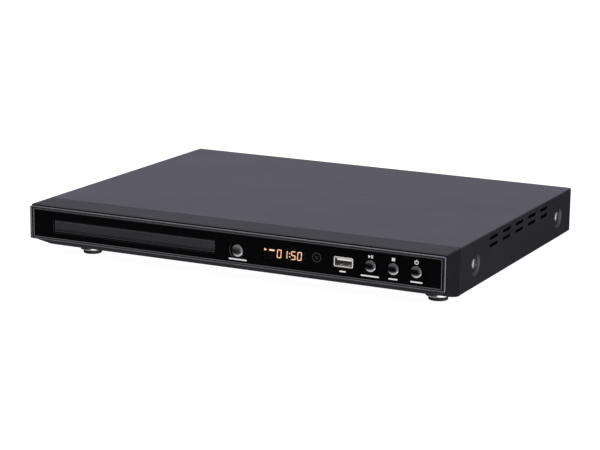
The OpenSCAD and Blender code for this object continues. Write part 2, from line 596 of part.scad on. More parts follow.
module disc_tray() {
  color("#28282b") at_disc() {
    difference() {
      union() {
        box(-63.5, 63.5, 3.3, 144, tray_z, tray_top);
        box(-63.5, -58, 143.9, 174, tray_z, tray_top);
        box(rack_x - 0.9, 63.5, 143.9, 174, tray_z, tray_top);
      }
      translate([0, disc_y, 0]) rod_z(dish_r, 22.8, 30);
      translate([0, disc_y, 0]) rod_z(40.5, 22.4, 30);
      translate([0, disc_y, 0]) rod_z(18, 15, 30);
      box(-20, 20, disc_y, disc_y + 66, 15, 30);
      // finger dips at the front and sides of the dish
      for (x = [-1, 1]) translate([x * 52, 12, 0]) rod_z(7, 23.4, 30);
      both() box(48, 70, 120, 134, 24, 30);
      // hollows under the rim
      for (x = [-54, 44]) box(x, x + 10, 6, 12, 19, 23.8);
    }
    translate([0, 0, 19.3]) linear_extrude(height = 1.95) polygon(rack_pts(46));
  }
}
module tray_door() {
  color("#333338") at_disc() difference() {
    union() {
      box(-door_w / 2, door_w / 2, 0.5, 3.3, door_z - door_h / 2, door_z + door_h / 2);
      box(-door_w / 2 + 0.6, door_w / 2 - 0.6, 0.3, 0.55, door_z - door_h / 2 + 2.3, door_z + door_h / 2 - 0.5);
      box(-door_w / 2 + 0.1, door_w / 2 - 0.1, 0.42, 0.55, door_z - door_h / 2 + 0.75, door_z - door_h / 2 + 1.5);
    }
    // line along the lower part of the face
    box(-door_w / 2 - 1, door_w / 2 + 1, -1, 1.1, door_z - door_h / 2 + 1.5, door_z - door_h / 2 + 2.3);
    box(-door_w / 2 + 2, door_w / 2 - 2, 2, 3.2, door_z - door_h / 2 + 1.2, door_z + door_h / 2 - 1.2);
  }
}
module loading_motor() {
  color("#a9abb0") at_disc() translate([motor_x, gear_y, 0]) difference() {
    rotate_extrude() polygon([[0, 7], [11.2, 7], [12, 7.8], [12, 15.4], [11.2, 16], [3, 16], [3, 16.7], [0, 16.7]]);
    rod_z(1.05, 12, 18);
  }
}
module motor_pulley() {
  color("#ececec") at_disc() translate([motor_x, gear_y, 0])
    rotate_extrude() polygon([[0, 12.4], [1, 12.4], [1, 17], [4, 17], [4, 17.6], [3, 18.1], [3, 19.3], [4, 19.8], [4, 20.4], [0, 20.4]]);
}
module pulley_gear() {
  color("#dfe0e2") at_disc() translate([pulley_x, gear_y, 0]) difference() {
    union() {
      rotate([0, 0, 15]) gear(12, 10.6, 16.2);
      rotate_extrude() polygon([[0, 16.1], [4.5, 16.1], [4.5, 17], [8.9, 17], [8.9, 17.6], [7.9, 18.1], [7.9, 19.3], [8.9, 19.8],
        [8.9, 20.4], [0, 20.4]]);
    }
    rod_z(2.05, 8, 22);
  }
}
module drive_belt() {
  color("#151515") at_disc() translate([0, gear_y, 18.15]) linear_extrude(height = 1.1) difference() {
    hull() {
      translate([motor_x, 0]) circle(r = 4);
      translate([pulley_x, 0]) circle(r = 8.85);
    }
    hull() {
      translate([motor_x, 0]) circle(r = 3.06);
      translate([pulley_x, 0]) circle(r = 7.96);
    }
  }
}
module tray_gear() {
  color("#f0f0ee") at_disc() translate([tray_gear_x, gear_y, 0]) difference() {
    union() {
      gear(24, 11, 15.6);
      rod_z(6, 15.55, 17.65);
      gear(16, 17.6, 20.9);
      rod_z(4, 8.9, 11.05);
    }
    rod_z(2.05, 8, 22);
    for (a = [0:60:300]) rotate([0, 0, a]) translate([7.9, 0, 0]) rod_z(1.6, 10, 16.5);
  }
}
// slot in the slider: a slope that lifts the pin of the traverse
pin_low = hinge_z - 117 * sin(lift_angle) - 0.7 * cos(lift_angle);
pin_high = hinge_z - 0.7;
slot_r = 1.5;
module cam_slider() {
  color("#e8e8e4") at_disc() difference() {
    union() {
      box(-34, 36, 47.35, 48.75, 7.6, 19.5);
    }
    along_y(46, 50) polygon([[-1.6, pin_low - slot_r], [0.4, pin_low - slot_r], [12.6 + 1.2, pin_high - slot_r], [13.8, pin_high + slot_r],
      [11.6, pin_high + slot_r], [-0.6 - 0.8, pin_low + slot_r], [-1.6, pin_low + slot_r]]);
    for (x = [-26, 22]) box(x, x + 8, 46, 50, 10.5, 16.5);
  }
}
module traverse_frame() {
  color("#3d3f43") lowered() difference() {
    union() {
      box(-46, 46, 50, 168, 17, 18.4);
      both() box(44, 46, 52, 160, 15.2, 17.05);
      box(-44, 44, 50, 51.6, 15.2, 17.05);
      // cam pin and hinge pins
      translate([0, 0, 17]) rod_y(1.2, 45.6, 50.05);
      both() translate([0, 165, hinge_z]) rod_x(2, 45.9, 50);
      box(-46, 46, 162, 168, 16.6, 18.6);
      // ends that hold the rods
      for (x = [-19, 19], y = [80, 140.6]) box(x - 3, x + 3, y, y + 3.4, 12.9, 17.05);
    }
    translate([0, disc_y, 0]) rod_z(9, 16, 20);
    box(-27, 27, 84, 140, 10, 20);
    box(24.5, 37.5, 145.5, 165, 10, 20);
    for (x = [-19, 19]) translate([x, 0, 15]) rod_y(rod_r, 79, 145);
    both() box(33, 42, 60, 100, 16, 20);
    box(-40, -31, 110, 156, 16, 20);
    both() box(14, 27, 54, 72, 16, 20);
  }
}
module guide_rods() {
  color("#d8dadd") lowered() for (x = [-19, 19]) translate([x, 0, 15]) rod_y(rod_r, 80, 144);
}
module spindle_motor() {
  color("#9c9ea3") lowered() translate([0, disc_y, 0]) difference() {
    union() {
      rod_z(11, 14.4, 16.98);
      rod_z(8.8, 16.9, 20.6);
      rod_z(3, 20.5, 21.2);
    }
    rod_z(1.05, 15, 22);
  }
}
module turntable() {
  color("#2c2c2f") lowered() translate([0, disc_y, 0])
    rotate_extrude() polygon([[0, 15.4], [1, 15.4], [1, 21.6], [9.5, 21.6], [14.5, 22.6], [14.5, 24.2], [8.2, 24.2], [8.2, 24.6], [7.35, 24.6],
      [7.2, 25.3], [5.6, 26.4], [0, 26.4]]);
}
module turntable_mat() {
  color("#141414") lowered() translate([0, disc_y, 0]) rotate_extrude() translate([9, 24.2]) square([4.8, 0.4]);
}
module sled_motor() {
  color("#a9abb0") lowered() translate([31, 0, 14.6]) difference() {
    rod_y(5, 147, 163.5);
    rod_y(1.05, 140, 155);
  }
}
module lead_screw() {
  color("#caa24a") lowered() translate([31, 0, 14.6]) {
    rod_y(1, 84, 150);
    rod_y(1.5, 86, 146);
  }
}
module pickup_body() {
  color("#4a4c52") lowered() difference() {
    union() {
      box(-24, 24, 101, 119, 12.6, 16.6);
      box(-22.5, 22.5, 103, 117, 16.5, 18.9);
      box(23.9, 34, 107, 113, 12.4, 16.6);
      box(-12, 12, 102, 118, 18.8, 20);
    }
    for (x = [-19, 19]) translate([x, 0, 15]) rod_y(rod_r + 0.05, 100, 120);
    translate([31, 0, 14.6]) rod_y(1.56, 100, 120);
    box(-7, 7, 104, 116, 18, 21);
  }
}
module pickup_lens() {
  color("#7fb0c8") lowered() translate([0, 110, 0]) {
    box(-6.6, 6.6, -5.6, 5.6, 18, 21.4);
    rotate_extrude() polygon([[0, 21.35], [3.4, 21.35], [3.2, 21.8], [2.6, 22.4], [1.4, 22.8], [0, 22.9]]);
  }
}

// ---- buttons ----
// cap with a domed face, a flange behind the front wall, and a stem
module push_button(r, dome, flange) {
  rotate([-90, 0, 0]) rotate_extrude() polygon(concat([for (i = [0:8]) [r * sin(i * 90 / 8), -button_out + dome * (1 - cos(i * 90 / 8))]],
    [[r, 3.9], [flange, 3.9], [flange, 4.7], [2, 4.7], [1.5, 5.2], [1.5, 8.4], [0, 8.4]]));
}
module open_close_button() { color("#4c4c50") at_front() translate([open_x, 0, open_z]) push_button(open_r, 1.6, 5.8); }
module play_pause_button() { color("#1b1b1d") at_front() translate([play_x, 0, small_z]) push_button(small_r, 1.5, 5); }
module stop_button() { color("#1b1b1d") at_front() translate([play_x + small_pitch, 0, small_z]) push_button(small_r, 1.5, 5); }
module power_button() { color("#1b1b1d") at_front() translate([play_x + 2 * small_pitch, 0, small_z]) push_button(small_r, 1.5, 5); }

bottom_pan();
rear_panel();
top_cover();
case_screws();
front_bezel();
front_trim();
front_panel();
display_window();
foot_rings();
foot_pads();
foot_screws();
front_board();
tact_switches();
led_display();
display_segments();
ir_receiver();
usb_shell();
usb_tongue();
mains_inlet();
av_jacks();
av_barrels();
hdmi_socket();
scart_socket();
main_board();
main_chips();
capacitors();
board_connectors();
power_board();
transformer();
heat_sink();
board_standoffs();
inner_screws();
ribbon_cables();
power_leads();
loader_frame();
grommets();
clamp_bridge();
clamp_puck();
puck_magnet();
disc_tray();
tray_door();
loading_motor();
motor_pulley();
drive_belt();
pulley_gear();
tray_gear();
cam_slider();
traverse_frame();
guide_rods();
spindle_motor();
turntable();
turntable_mat();
sled_motor();
lead_screw();
pickup_body();
pickup_lens();
open_close_button();
play_pause_button();
stop_button();
power_button();
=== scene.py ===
import math

import bmesh
import bpy
import numpy as np
from mathutils import Matrix, Vector
from mathutils.geometry import delaunay_2d_cdt


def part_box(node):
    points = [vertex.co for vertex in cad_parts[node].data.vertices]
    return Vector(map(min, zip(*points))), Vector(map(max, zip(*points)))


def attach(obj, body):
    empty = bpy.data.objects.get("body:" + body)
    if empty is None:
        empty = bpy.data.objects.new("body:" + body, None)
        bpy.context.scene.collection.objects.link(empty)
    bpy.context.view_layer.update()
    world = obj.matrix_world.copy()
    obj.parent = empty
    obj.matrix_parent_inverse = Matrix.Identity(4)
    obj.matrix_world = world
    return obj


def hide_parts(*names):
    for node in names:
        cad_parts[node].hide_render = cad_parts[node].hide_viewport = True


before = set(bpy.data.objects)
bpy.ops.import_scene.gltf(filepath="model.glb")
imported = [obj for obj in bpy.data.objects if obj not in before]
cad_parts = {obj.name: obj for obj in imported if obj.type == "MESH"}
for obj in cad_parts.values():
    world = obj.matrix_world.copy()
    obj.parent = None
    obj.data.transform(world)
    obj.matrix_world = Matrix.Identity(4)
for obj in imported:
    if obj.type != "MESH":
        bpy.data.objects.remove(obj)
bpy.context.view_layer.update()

# ---------------------------------------------------------------- sizes, in millimetres
# x across, y behind the front plane, z above the floor
MM = 0.001
YF = -128.25
HX = 160.0
TOP = 37.5
FOOT = 4.5
SHEET = 0.8
BEZ = 26.7
DEEP = 249.5
TRIM_TOP = 36.4
TRIM_BOT = 12.5
DOOR_Z = 23.55
DOOR_H = 8.1
DOOR_W = 129.2
DISC_X = -74.8
DISC_Y = 70.0
OPEN_X, OPEN_Z = 7.7, 23.0
USB_X, USB_Z = 86.9, 24.2
SMALL_X = (106.7, 123.1, 139.5)
SMALL_Z = 24.2
SCREW_Y = (54.0, 221.5)
SCREW_Z = 20.3
FEET = ((-126, 29.5), (144, 28.5), (-144, 222), (144, 222))
TAU = 2 * math.pi


# ---------------------------------------------------------------- mesh building
class Shape:
    """Vertices in millimetres, faces, and a material number for each face."""

    def __init__(self):
        self.v, self.f, self.m = [], [], []

    def pts(self, pts):
        n = len(self.v)
        self.v.extend(tuple(float(c) for c in p) for p in pts)
        return list(range(n, n + len(pts)))

    def face(self, idx, mat=0):
        self.f.append(tuple(idx))
        self.m.append(mat)

    def strip(self, a, b, mat=0, closed=True):
        n = len(a)
        for i in range(n if closed else n - 1):
            j = (i + 1) % n
            self.face((a[i], a[j], b[j], b[i]), mat)

    def fill(self, loops, axes=(0, 2), mat=0, extra=(), pick=None):
        """Triangles over the flat area between loops of vertex numbers, holes being loops inside loops."""
        ids, edges = [], []
        for loop in loops:
            n = len(ids)
            ids += loop
            edges += [(n + k, n + (k + 1) % len(loop)) for k in range(len(loop))]
        where = {i: k for k, i in enumerate(ids)}
        for line in extra:
            for i in line:
                if i not in where:
                    where[i] = len(ids)
                    ids.append(i)
            edges += [(where[line[k]], where[line[k + 1]]) for k in range(len(line) - 1)]
        a, b = axes
        co = [Vector((self.v[i][a], self.v[i][b])) for i in ids]
        verts, _, tris, orig = delaunay_2d_cdt(co, edges, [], 0, 1e-5, True)[:4]
        back = [ids[o[0]] if o else None for o in orig]
        cen = np.array([[sum(verts[i][k] for i in t) / 3 for k in (0, 1)] for t in tris])
        inside = np.zeros(len(tris), bool)
        for loop in loops:
            p = np.array([[self.v[i][a], self.v[i][b]] for i in loop])
            q = np.roll(p, -1, 0)
            for (x0, y0), (x1, y1) in zip(p, q):
                if y0 != y1:
                    hit = ((y0 > cen[:, 1]) != (y1 > cen[:, 1])) & (
                        cen[:, 0] < (x1 - x0) * (cen[:, 1] - y0) / (y1 - y0) + x0
                    )
                    inside ^= hit
        for t, ok, c in zip(tris, inside, cen):
            if ok and all(back[i] is not None for i in t):
                self.face([back[i] for i in t], pick(c[0], c[1]) if pick else mat)

    def join(self, other, mat=None):
        n = len(self.v)
        self.v += other.v
        self.f += [tuple(i + n for i in f) for f in other.f]
        self.m += other.m if mat is None else [mat] * len(other.f)
        return self

    def moved(self, fn):
        out = Shape()
        out.v = [tuple(fn(*p)) for p in self.v]
        out.f, out.m = list(self.f), list(self.m)
        return out


def rrect(x0, x1, z0, z1, r, n=5):
    """Outline of a rounded rectangle; its argument grows it."""

    def at(d=0.0):
        a0, a1, b0, b1, rr = x0 - d, x1 + d, z0 - d, z1 + d, max(r + d, 0.02)
        out = []
        for cx, cz, s in ((a1 - rr, b0 + rr, -90), (a1 - rr, b1 - rr, 0), (a0 + rr, b1 - rr, 90), (a0 + rr, b0 + rr, 180)):
            for i in range(n + 1):
                t = math.radians(s + 90 * i / n)
                out.append((cx + rr * math.cos(t), cz + rr * math.sin(t)))
        return out

    return at


def ring(cx, cz, r, n=56):
    def at(d=0.0):
        return [(cx + (r + d) * math.cos(TAU * i / n), cz + (r + d) * math.sin(TAU * i / n)) for i in range(n)]

    return at


def outline(pts):
    def at(d=0.0):
        if not d:
            return list(pts)
        out, n = [], len(pts)
        area = sum(pts[i][0] * pts[(i + 1) % n][1] - pts[(i + 1) % n][0] * pts[i][1] for i in range(n))
        s = 1 if area > 0 else -1
        for i in range(n):
            (ax, ay), (bx, by), (cx, cy) = pts[i - 1], pts[i], pts[(i + 1) % n]
            e, f = Vector((bx - ax, by - ay)).normalized(), Vector((cx - bx, cy - by)).normalized()
            n1, n2 = Vector((e.y, -e.x)) * s, Vector((f.y, -f.x)) * s
            m = n1 + n2
            m = m / max(m.length_squared / 2, 0.35)
            out.append((bx + m.x * d, by + m.y * d))
        return out

    return at


def plate(outer, outer_prof, holes=(), place=lambda a, b, t: (a, t, b), mat=0, side=None, back=True):
    """A flat piece. outer and holes are outlines, and each has a profile of (growth, depth) from its face to its back.
    A hole given as (outline, profile, floor) is blind if floor is true."""
    s = Shape()
    side = mat if side is None else side

    def lift(fn, prof):
        return [s.pts([(a, t, b) for a, b in fn(d)]) for d, t in prof]

    rows = lift(outer, outer_prof)
    front, rear = [rows[0]], [rows[-1]]
    for k in range(len(rows) - 1):
        s.strip(rows[k], rows[k + 1], side)
    for h in holes:
        fn, prof = h[0], h[1]
        r = lift(fn, prof)
        front.append(r[0])
        for k in range(len(r) - 1):
            s.strip(r[k], r[k + 1], h[3] if len(h) > 3 else side)
        if len(h) > 2 and h[2]:
            s.fill([r[-1]], (0, 2), h[3] if len(h) > 3 else side)
        else:
            rear.append(r[-1])
    s.fill(front, (0, 2), mat)
    if back:
        s.fill(rear, (0, 2), side)
    return s.moved(lambda x, t, z: place(x, z, t))


def soft_edge(y0, y1, b, n=3, both_ends=True):
    """Profile of a plate's edge with a rounded corner of size b at the face, and at the back too."""
    out = [(-b + b * math.sin(a), y0 + b - b * math.cos(a)) for a in [math.pi / 2 * k / n for k in range(n + 1)]]
    if both_ends:
        out += [(-b + b * math.cos(a), y1 - b + b * math.sin(a)) for a in [math.pi / 2 * k / n for k in range(n + 1)]]
    else:
        out.append((0, y1))
    return out


def hole_edge(y0, y1, b, n=3):
    out = [(b - b * math.sin(a), y0 + b - b * math.cos(a)) for a in [math.pi / 2 * k / n for k in range(n + 1)]]
    out.append((0, y1))
    return out


def lathe(profile, centre=(0, 0, 0), axis="z", n=64, mats=None, start=0.0):
    """A turned piece. profile is (radius, height); a radius of 0 closes it."""
    s, rows = Shape(), []
    for r, h in profile:
        if r <= 1e-6:
            rows.append(s.pts([(0, 0, h)]))
        else:
            rows.append(s.pts([(r * math.cos(start + TAU * i / n), r * math.sin(start + TAU * i / n), h) for i in range(n)]))
    for k in range(len(rows) - 1):
        a, b = rows[k], rows[k + 1]
        m = mats[k] if mats else 0
        if len(a) == 1 and len(b) == 1:
            continue
        if len(a) == 1:
            for i in range(n):
                s.face((a[0], b[i], b[(i + 1) % n]), m)
        elif len(b) == 1:
            for i in range(n):
                s.face((a[i], a[(i + 1) % n], b[0]), m)
        else:
            s.strip(a, b, m)
    if len(rows[0]) > 1 and len(rows[-1]) > 1 and profile[0] != profile[-1]:
        s.strip(rows[-1], rows[0], mats[-1] if mats else 0)
    cx, cy, cz = centre
    turn = {
        "z": lambda x, y, z: (cx + x, cy + y, cz + z),
        "y": lambda x, y, z: (cx + x, cy + z, cz - y),
        "x": lambda x, y, z: (cx + z, cy + y, cz - x),
    }[axis]
    return s.moved(turn)


def arc(cx, cy, r, a0, a1, n=4):
    """Points along an arc, as (radius, height)."""
    return [(cx + r * math.cos(math.radians(a0 + (a1 - a0) * k / n)), cy + r * math.sin(math.radians(a0 + (a1 - a0) * k / n)))
            for k in range(n + 1)]


def block(x0, x1, y0, y1, z0, z1, b=0.0):
    """A box, with its edges cut by b."""
    if b <= 0:
        s = Shape()
        lo = s.pts([(x0, y0, z0), (x1, y0, z0), (x1, y1, z0), (x0, y1, z0)])
        hi = s.pts([(x0, y0, z1), (x1, y0, z1), (x1, y1, z1), (x0, y1, z1)])
        s.strip(lo, hi)
        s.face(lo[::-1])
        s.face(hi)
        return s
    o = rrect(x0, x1, z0, z1, b, 2)
    return plate(o, soft_edge(y0, y1, b, 2))


def shaft(p0, p1, r, n=24, b=0.0):
    """A rod between two points."""
    a, c = Vector(p0), Vector(p1)
    d = c - a
    q = d.to_track_quat("Z", "Y")
    l = d.length
    prof = [(0, 0), (r - b, 0), (r, b), (r, l - b), (r - b, l), (0, l)] if b else [(0, 0), (r, 0), (r, l), (0, l)]
    return lathe(prof, n=n).moved(lambda x, y, z: tuple(a + q @ Vector((x, y, z))))


def prism(pts, y0, y1, b=0.0):
    o = outline(pts)
    return plate(o, soft_edge(y0, y1, b, 2) if b else [(0, y0), (0, y1)])


def mesh_of(shape, name="tmp"):
    me = bpy.data.meshes.new(name)
    me.from_pydata([(x * MM, (y + YF) * MM, z * MM) for x, y, z in shape.v], [], shape.f)
    me.polygons.foreach_set("material_index", shape.m)
    bm = bmesh.new()
    bm.from_mesh(me)
    bmesh.ops.remove_doubles(bm, verts=bm.verts, dist=2e-7)
    bmesh.ops.dissolve_degenerate(bm, edges=bm.edges, dist=1e-8)
    bmesh.ops.recalc_face_normals(bm, faces=bm.faces)
    bm.to_mesh(me)
    bm.free()
    return me


def carve(shape, cutters):
    """shape with the cutters taken away, one after another."""
    base = bpy.data.objects.new("carve_base", mesh_of(shape))
    tools = [bpy.data.objects.new("carve_tool", mesh_of(c)) for c in cutters]
    for o in [base] + tools:
        bpy.context.scene.collection.objects.link(o)
        n = max([p.material_index for p in o.data.polygons] + [0]) + 1
        while len(o.data.materials) < max(n, 3):
            o.data.materials.append(slots_material(len(o.data.materials)))
    for cut in tools:
        m = base.modifiers.new("cut", "BOOLEAN")
        m.operation, m.object, m.solver = "DIFFERENCE", cut, "EXACT"
        m.material_mode = "INDEX"
    bpy.context.view_layer.update()
    done = bpy.data.meshes.new_from_object(base.evaluated_get(bpy.context.evaluated_depsgraph_get()))
    done.materials.clear()
    for o in [base] + tools:
        bpy.data.objects.remove(o)
    return done


_blank = {}


def slots_material(i):
    if i not in _blank:
        _blank[i] = bpy.data.materials.new(f"blank_{i}")
    return _blank[i]


def add(name, what, body, mats, replaces=(), sharp=38.0, weighted=True):
    """Makes the object: smooth faces with sharp edges over the given angle, materials and body, and hides the CAD parts
    it replaces.
    """
    me = what if isinstance(what, bpy.types.Mesh) else mesh_of(what, name)
    me.name = name
    bm = bmesh.new()
    bm.from_mesh(me)
    bmesh.ops.remove_doubles(bm, verts=bm.verts, dist=2e-7)
    for f in bm.faces:
        f.smooth = True
    lim = math.radians(sharp)
    for e in bm.edges:
        e.smooth = len(e.link_faces) == 2 and e.calc_face_angle(0.0) < lim
    bm.to_mesh(me)
    bm.free()
    for m in mats if isinstance(mats, (list, tuple)) else [mats]:
        me.materials.append(m)
    o = bpy.data.objects.new(name, me)
    bpy.context.scene.collection.objects.link(o)
    if weighted:
        w = o.modifiers.new("normals", "WEIGHTED_NORMAL")
        w.keep_sharp = True
        w.weight = 90
    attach(o, body)
    if replaces:
        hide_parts(*([replaces] if isinstance(replaces, str) else replaces))
    return o


# ---------------------------------------------------------------- materials
def lin(c):
    c = c / 255.0
    return c / 12.92 if c <= 0.04045 else ((c + 0.055) / 1.055) ** 2.4


def rgb(r, g, b):
    return (lin(r), lin(g), lin(b), 1.0)


class Graph:
    def __init__(self, name):
        self.mat = bpy.data.materials.new(name)
        self.mat.use_nodes = True
        self.nt = self.mat.node_tree
        self.bsdf = next(n for n in self.nt.nodes if n.type == "BSDF_PRINCIPLED")
        self.out = next(n for n in self.nt.nodes if n.type == "OUTPUT_MATERIAL")
        self.tc = self.nt.nodes.new("ShaderNodeTexCoord")

    def node(self, kind, **set_):
        n = self.nt.nodes.new(kind)
        for k, v in set_.items():
            setattr(n, k, v)
        return n

    def link(self, a, b):
        self.nt.links.new(a, b)

    def coords(self, scale=(1, 1, 1), rot=(0, 0, 0), loc=(0, 0, 0)):
        m = self.node("ShaderNodeMapping")
        m.inputs["Scale"].default_value = scale
        m.inputs["Rotation"].default_value = rot
        m.inputs["Location"].default_value = loc
        self.link(self.tc.outputs["Object"], m.inputs["Vector"])
        return m.outputs["Vector"]

    def noise(self, size_mm, detail=3.0, rough=0.55, distort=0.0, stretch=(1, 1, 1), rot=(0, 0, 0), loc=(0, 0, 0)):
        n = self.node("ShaderNodeTexNoise")
        n.inputs["Scale"].default_value = 1000.0 / size_mm
        n.inputs["Detail"].default_value = detail
        n.inputs["Roughness"].default_value = rough
        n.inputs["Distortion"].default_value = distort
        self.link(self.coords(stretch, rot, loc), n.inputs["Vector"])
        return n.outputs["Fac"]

    def cells(self, size_mm, feature="F1", rand=1.0, stretch=(1, 1, 1), out="Distance"):
        n = self.node("ShaderNodeTexVoronoi", feature=feature)
        n.inputs["Scale"].default_value = 1000.0 / size_mm
        n.inputs["Randomness"].default_value = rand
        self.link(self.coords(stretch), n.inputs["Vector"])
        return n.outputs[out]

    def remap(self, value, a, b, c, d, smooth=False):
        n = self.node("ShaderNodeMapRange")
        n.clamp = True
        n.interpolation_type = "SMOOTHSTEP" if smooth else "LINEAR"
        for k, v in (("From Min", a), ("From Max", b), ("To Min", c), ("To Max", d)):
            n.inputs[k].default_value = v
        self.link(value, n.inputs["Value"])
        return n.outputs["Result"]

    def math(self, op, a, b=None):
        n = self.node("ShaderNodeMath", operation=op)
        for k, v in enumerate((a, b)):
            if v is None:
                continue
            if isinstance(v, (int, float)):
                n.inputs[k].default_value = v
            else:
                self.link(v, n.inputs[k])
        return n.outputs[0]

    def mix(self, fac, a, b):
        n = self.node("ShaderNodeMix", data_type="RGBA")
        if isinstance(fac, (int, float)):
            n.inputs[0].default_value = fac
        else:
            self.link(fac, n.inputs[0])
        for k, v in ((6, a), (7, b)):
            if isinstance(v, tuple):
                n.inputs[k].default_value = v
            else:
                self.link(v, n.inputs[k])
        return n.outputs[2]

    def bump(self, height, depth_mm, normal=None, strength=1.0):
        n = self.node("ShaderNodeBump")
        n.inputs["Strength"].default_value = strength
        n.inputs["Distance"].default_value = depth_mm * MM
        self.link(height, n.inputs["Height"])
        if normal is not None:
            self.link(normal, n.inputs["Normal"])
        return n.outputs["Normal"]

    def edges(self, radius_mm=0.5):
        """1 along edges of the shape and 0 on its flats."""
        b = self.node("ShaderNodeBevel", samples=4)
        b.inputs["Radius"].default_value = radius_mm * MM
        g = self.node("ShaderNodeNewGeometry")
        d = self.node("ShaderNodeVectorMath", operation="DOT_PRODUCT")
        self.link(b.outputs["Normal"], d.inputs[0])
        self.link(g.outputs["Normal"], d.inputs[1])
        return self.remap(d.outputs["Value"], 0.995, 0.9, 0.0, 1.0)


def scaled(c, k):
    return tuple(min(1.0, max(0.0, x * k)) for x in c[:3]) + (1.0,)


def surface(name, color, rough=0.5, metal=0.0, spec=0.5, coat=0.0, coat_rough=0.08, grain=None, peel=None, brush=None,
            mottle=(9.0, 0.08), rough_var=0.06, smudge=30.0, wear=None, round_mm=0.0, alpha=1.0, sheen=0.0, specks=None,
            specks_color=None, emit=None, emit_strength=0.0):
    """A surface with colour mottling, uneven roughness, grain, and worn edges."""
    g = Graph(name)
    b = g.bsdf
    b.inputs["Metallic"].default_value = metal
    b.inputs["Specular IOR Level"].default_value = spec
    b.inputs["Coat Weight"].default_value = coat
    b.inputs["Coat Roughness"].default_value = coat_rough
    b.inputs["Alpha"].default_value = alpha
    if sheen:
        b.inputs["Sheen Weight"].default_value = sheen
    k = mottle[1]
    fine = g.noise(mottle[0], 4.0, 0.6)
    col = g.mix(g.remap(fine, 0.3, 0.7, 0.0, 1.0), scaled(color, 1 - k), scaled(color, 1 + k))
    if specks:
        sp = g.remap(g.cells(specks[0]), specks[1], specks[1] * 1.6, 1.0, 0.0)
        patch = g.remap(g.noise(specks[0] * 7, 2.0), 0.5, 0.62, 0.0, 1.0)
        col = g.mix(g.math("MULTIPLY", g.math("MULTIPLY", sp, patch), specks[2]), col, specks_color or scaled(color, 2.2))
    if wear:
        worn = g.math("MULTIPLY", g.edges(wear[0]), g.remap(g.noise(5.0, 4.0), 0.42, 0.7, 0.15, 1.0))
        col = g.mix(g.math("MULTIPLY", worn, wear[1]), col, wear[2])
    g.link(col, b.inputs["Base Color"])
    broad = g.noise(smudge, 5.0, 0.6, 0.4)
    streak = g.noise(2.2, 3.0, 0.6)
    r = g.math("ADD", g.remap(broad, 0.3, 0.7, rough - rough_var, rough + rough_var), g.remap(streak, 0.3, 0.7, -rough_var / 3, rough_var / 3))
    g.link(r, b.inputs["Roughness"])
    normal = None
    if round_mm:
        bev = g.node("ShaderNodeBevel", samples=6)
        bev.inputs["Radius"].default_value = round_mm * MM
        normal = bev.outputs["Normal"]
    if brush:
        st, rot = brush[0], brush[2] if len(brush) > 2 else (0, 0, 0)
        normal = g.bump(g.noise(1.0, 3.0, 0.6, 0.0, st, rot), brush[1], normal)
    if peel:
        normal = g.bump(g.noise(peel[0], 2.0, 0.5), peel[1], normal)
    if grain:
        normal = g.bump(g.noise(grain[0], 3.0, 0.65), grain[1], normal)
    if normal is not None:
        g.link(normal, b.inputs["Normal"])
        if coat and not round_mm:
            pass
    if emit:
        b.inputs["Emission Color"].default_value = emit
        b.inputs["Emission Strength"].default_value = emit_strength
    return g.mat


M = {}
M["cover"] = surface("cover_paint", (0.0125, 0.012, 0.0165, 1), rough=0.42, spec=0.5, grain=(0.32, 0.010), peel=(1.6, 0.006),
                     mottle=(0.9, 0.10), rough_var=0.035, smudge=60.0, specks=(1.1, 0.10, 0.35), wear=(0.5, 0.35, (0.10, 0.10, 0.11, 1)))
M["cover_in"] = surface("cover_inside", (0.30, 0.31, 0.32, 1), rough=0.4, metal=0.9, grain=(0.5, 0.006), mottle=(12.0, 0.18))
M["bezel"] = surface("bezel_plastic", (0.0075, 0.0073, 0.009, 1), rough=0.5, spec=0.24, grain=(0.26, 0.012), peel=(1.1, 0.004),
                     mottle=(0.8, 0.12), rough_var=0.04, smudge=45.0, wear=(0.4, 0.3, (0.07, 0.07, 0.075, 1)))
M["trim"] = surface("silver_trim", (0.165, 0.165, 0.183, 1), rough=0.36, metal=0.85, grain=(0.2, 0.003), brush=((0.05, 1, 1), 0.004),
                    mottle=(6.0, 0.08), rough_var=0.05, wear=(0.3, 0.4, (0.5, 0.5, 0.52, 1)))
M["gloss"] = surface("gloss_black", (0.0036, 0.0036, 0.0043, 1), rough=0.07, spec=0.35, coat=0.15, coat_rough=0.03, peel=(3.2, 0.0016),
                     mottle=(14.0, 0.2), rough_var=0.03, smudge=26.0, specks=(1.7, 0.045, 0.5), specks_color=(0.05, 0.05, 0.055, 1),
                     wear=(0.25, 0.35, (0.03, 0.03, 0.033, 1)))
M["rim"] = surface("rim_black", (0.007, 0.007, 0.0085, 1), rough=0.2, spec=0.8, coat=0.7, grain=(0.3, 0.001), mottle=(5.0, 0.12), rough_var=0.05)
M["door"] = surface("door_plastic", (0.046, 0.046, 0.055, 1), rough=0.34, spec=0.5, grain=(0.22, 0.003), brush=((0.02, 1, 1), 0.003),
                    mottle=(3.0, 0.10), rough_var=0.05, wear=(0.3, 0.3, (0.08, 0.08, 0.085, 1)))
M["door_lip"] = surface("door_lip", (0.014, 0.014, 0.016, 1), rough=0.3, spec=0.45, grain=(0.22, 0.003), mottle=(3.0, 0.10), rough_var=0.05)
M["door_body"] = surface("door_body", (0.0026, 0.0026, 0.003, 1), rough=0.3, spec=0.2, grain=(0.22, 0.003), mottle=(3.0, 0.12), rough_var=0.04)
M["cap_grey"] = surface("button_grey", (0.12, 0.12, 0.125, 1), rough=0.33, metal=1.0, grain=(0.2, 0.002), mottle=(1.6, 0.08),
                        rough_var=0.04, wear=(0.3, 0.3, (0.3, 0.3, 0.31, 1)))
M["cap_gloss"] = surface("button_gloss", (0.07, 0.07, 0.075, 1), rough=0.2, metal=1.0, grain=(0.2, 0.001), mottle=(1.6, 0.1),
                         rough_var=0.03, wear=(0.25, 0.3, (0.2, 0.2, 0.21, 1)))
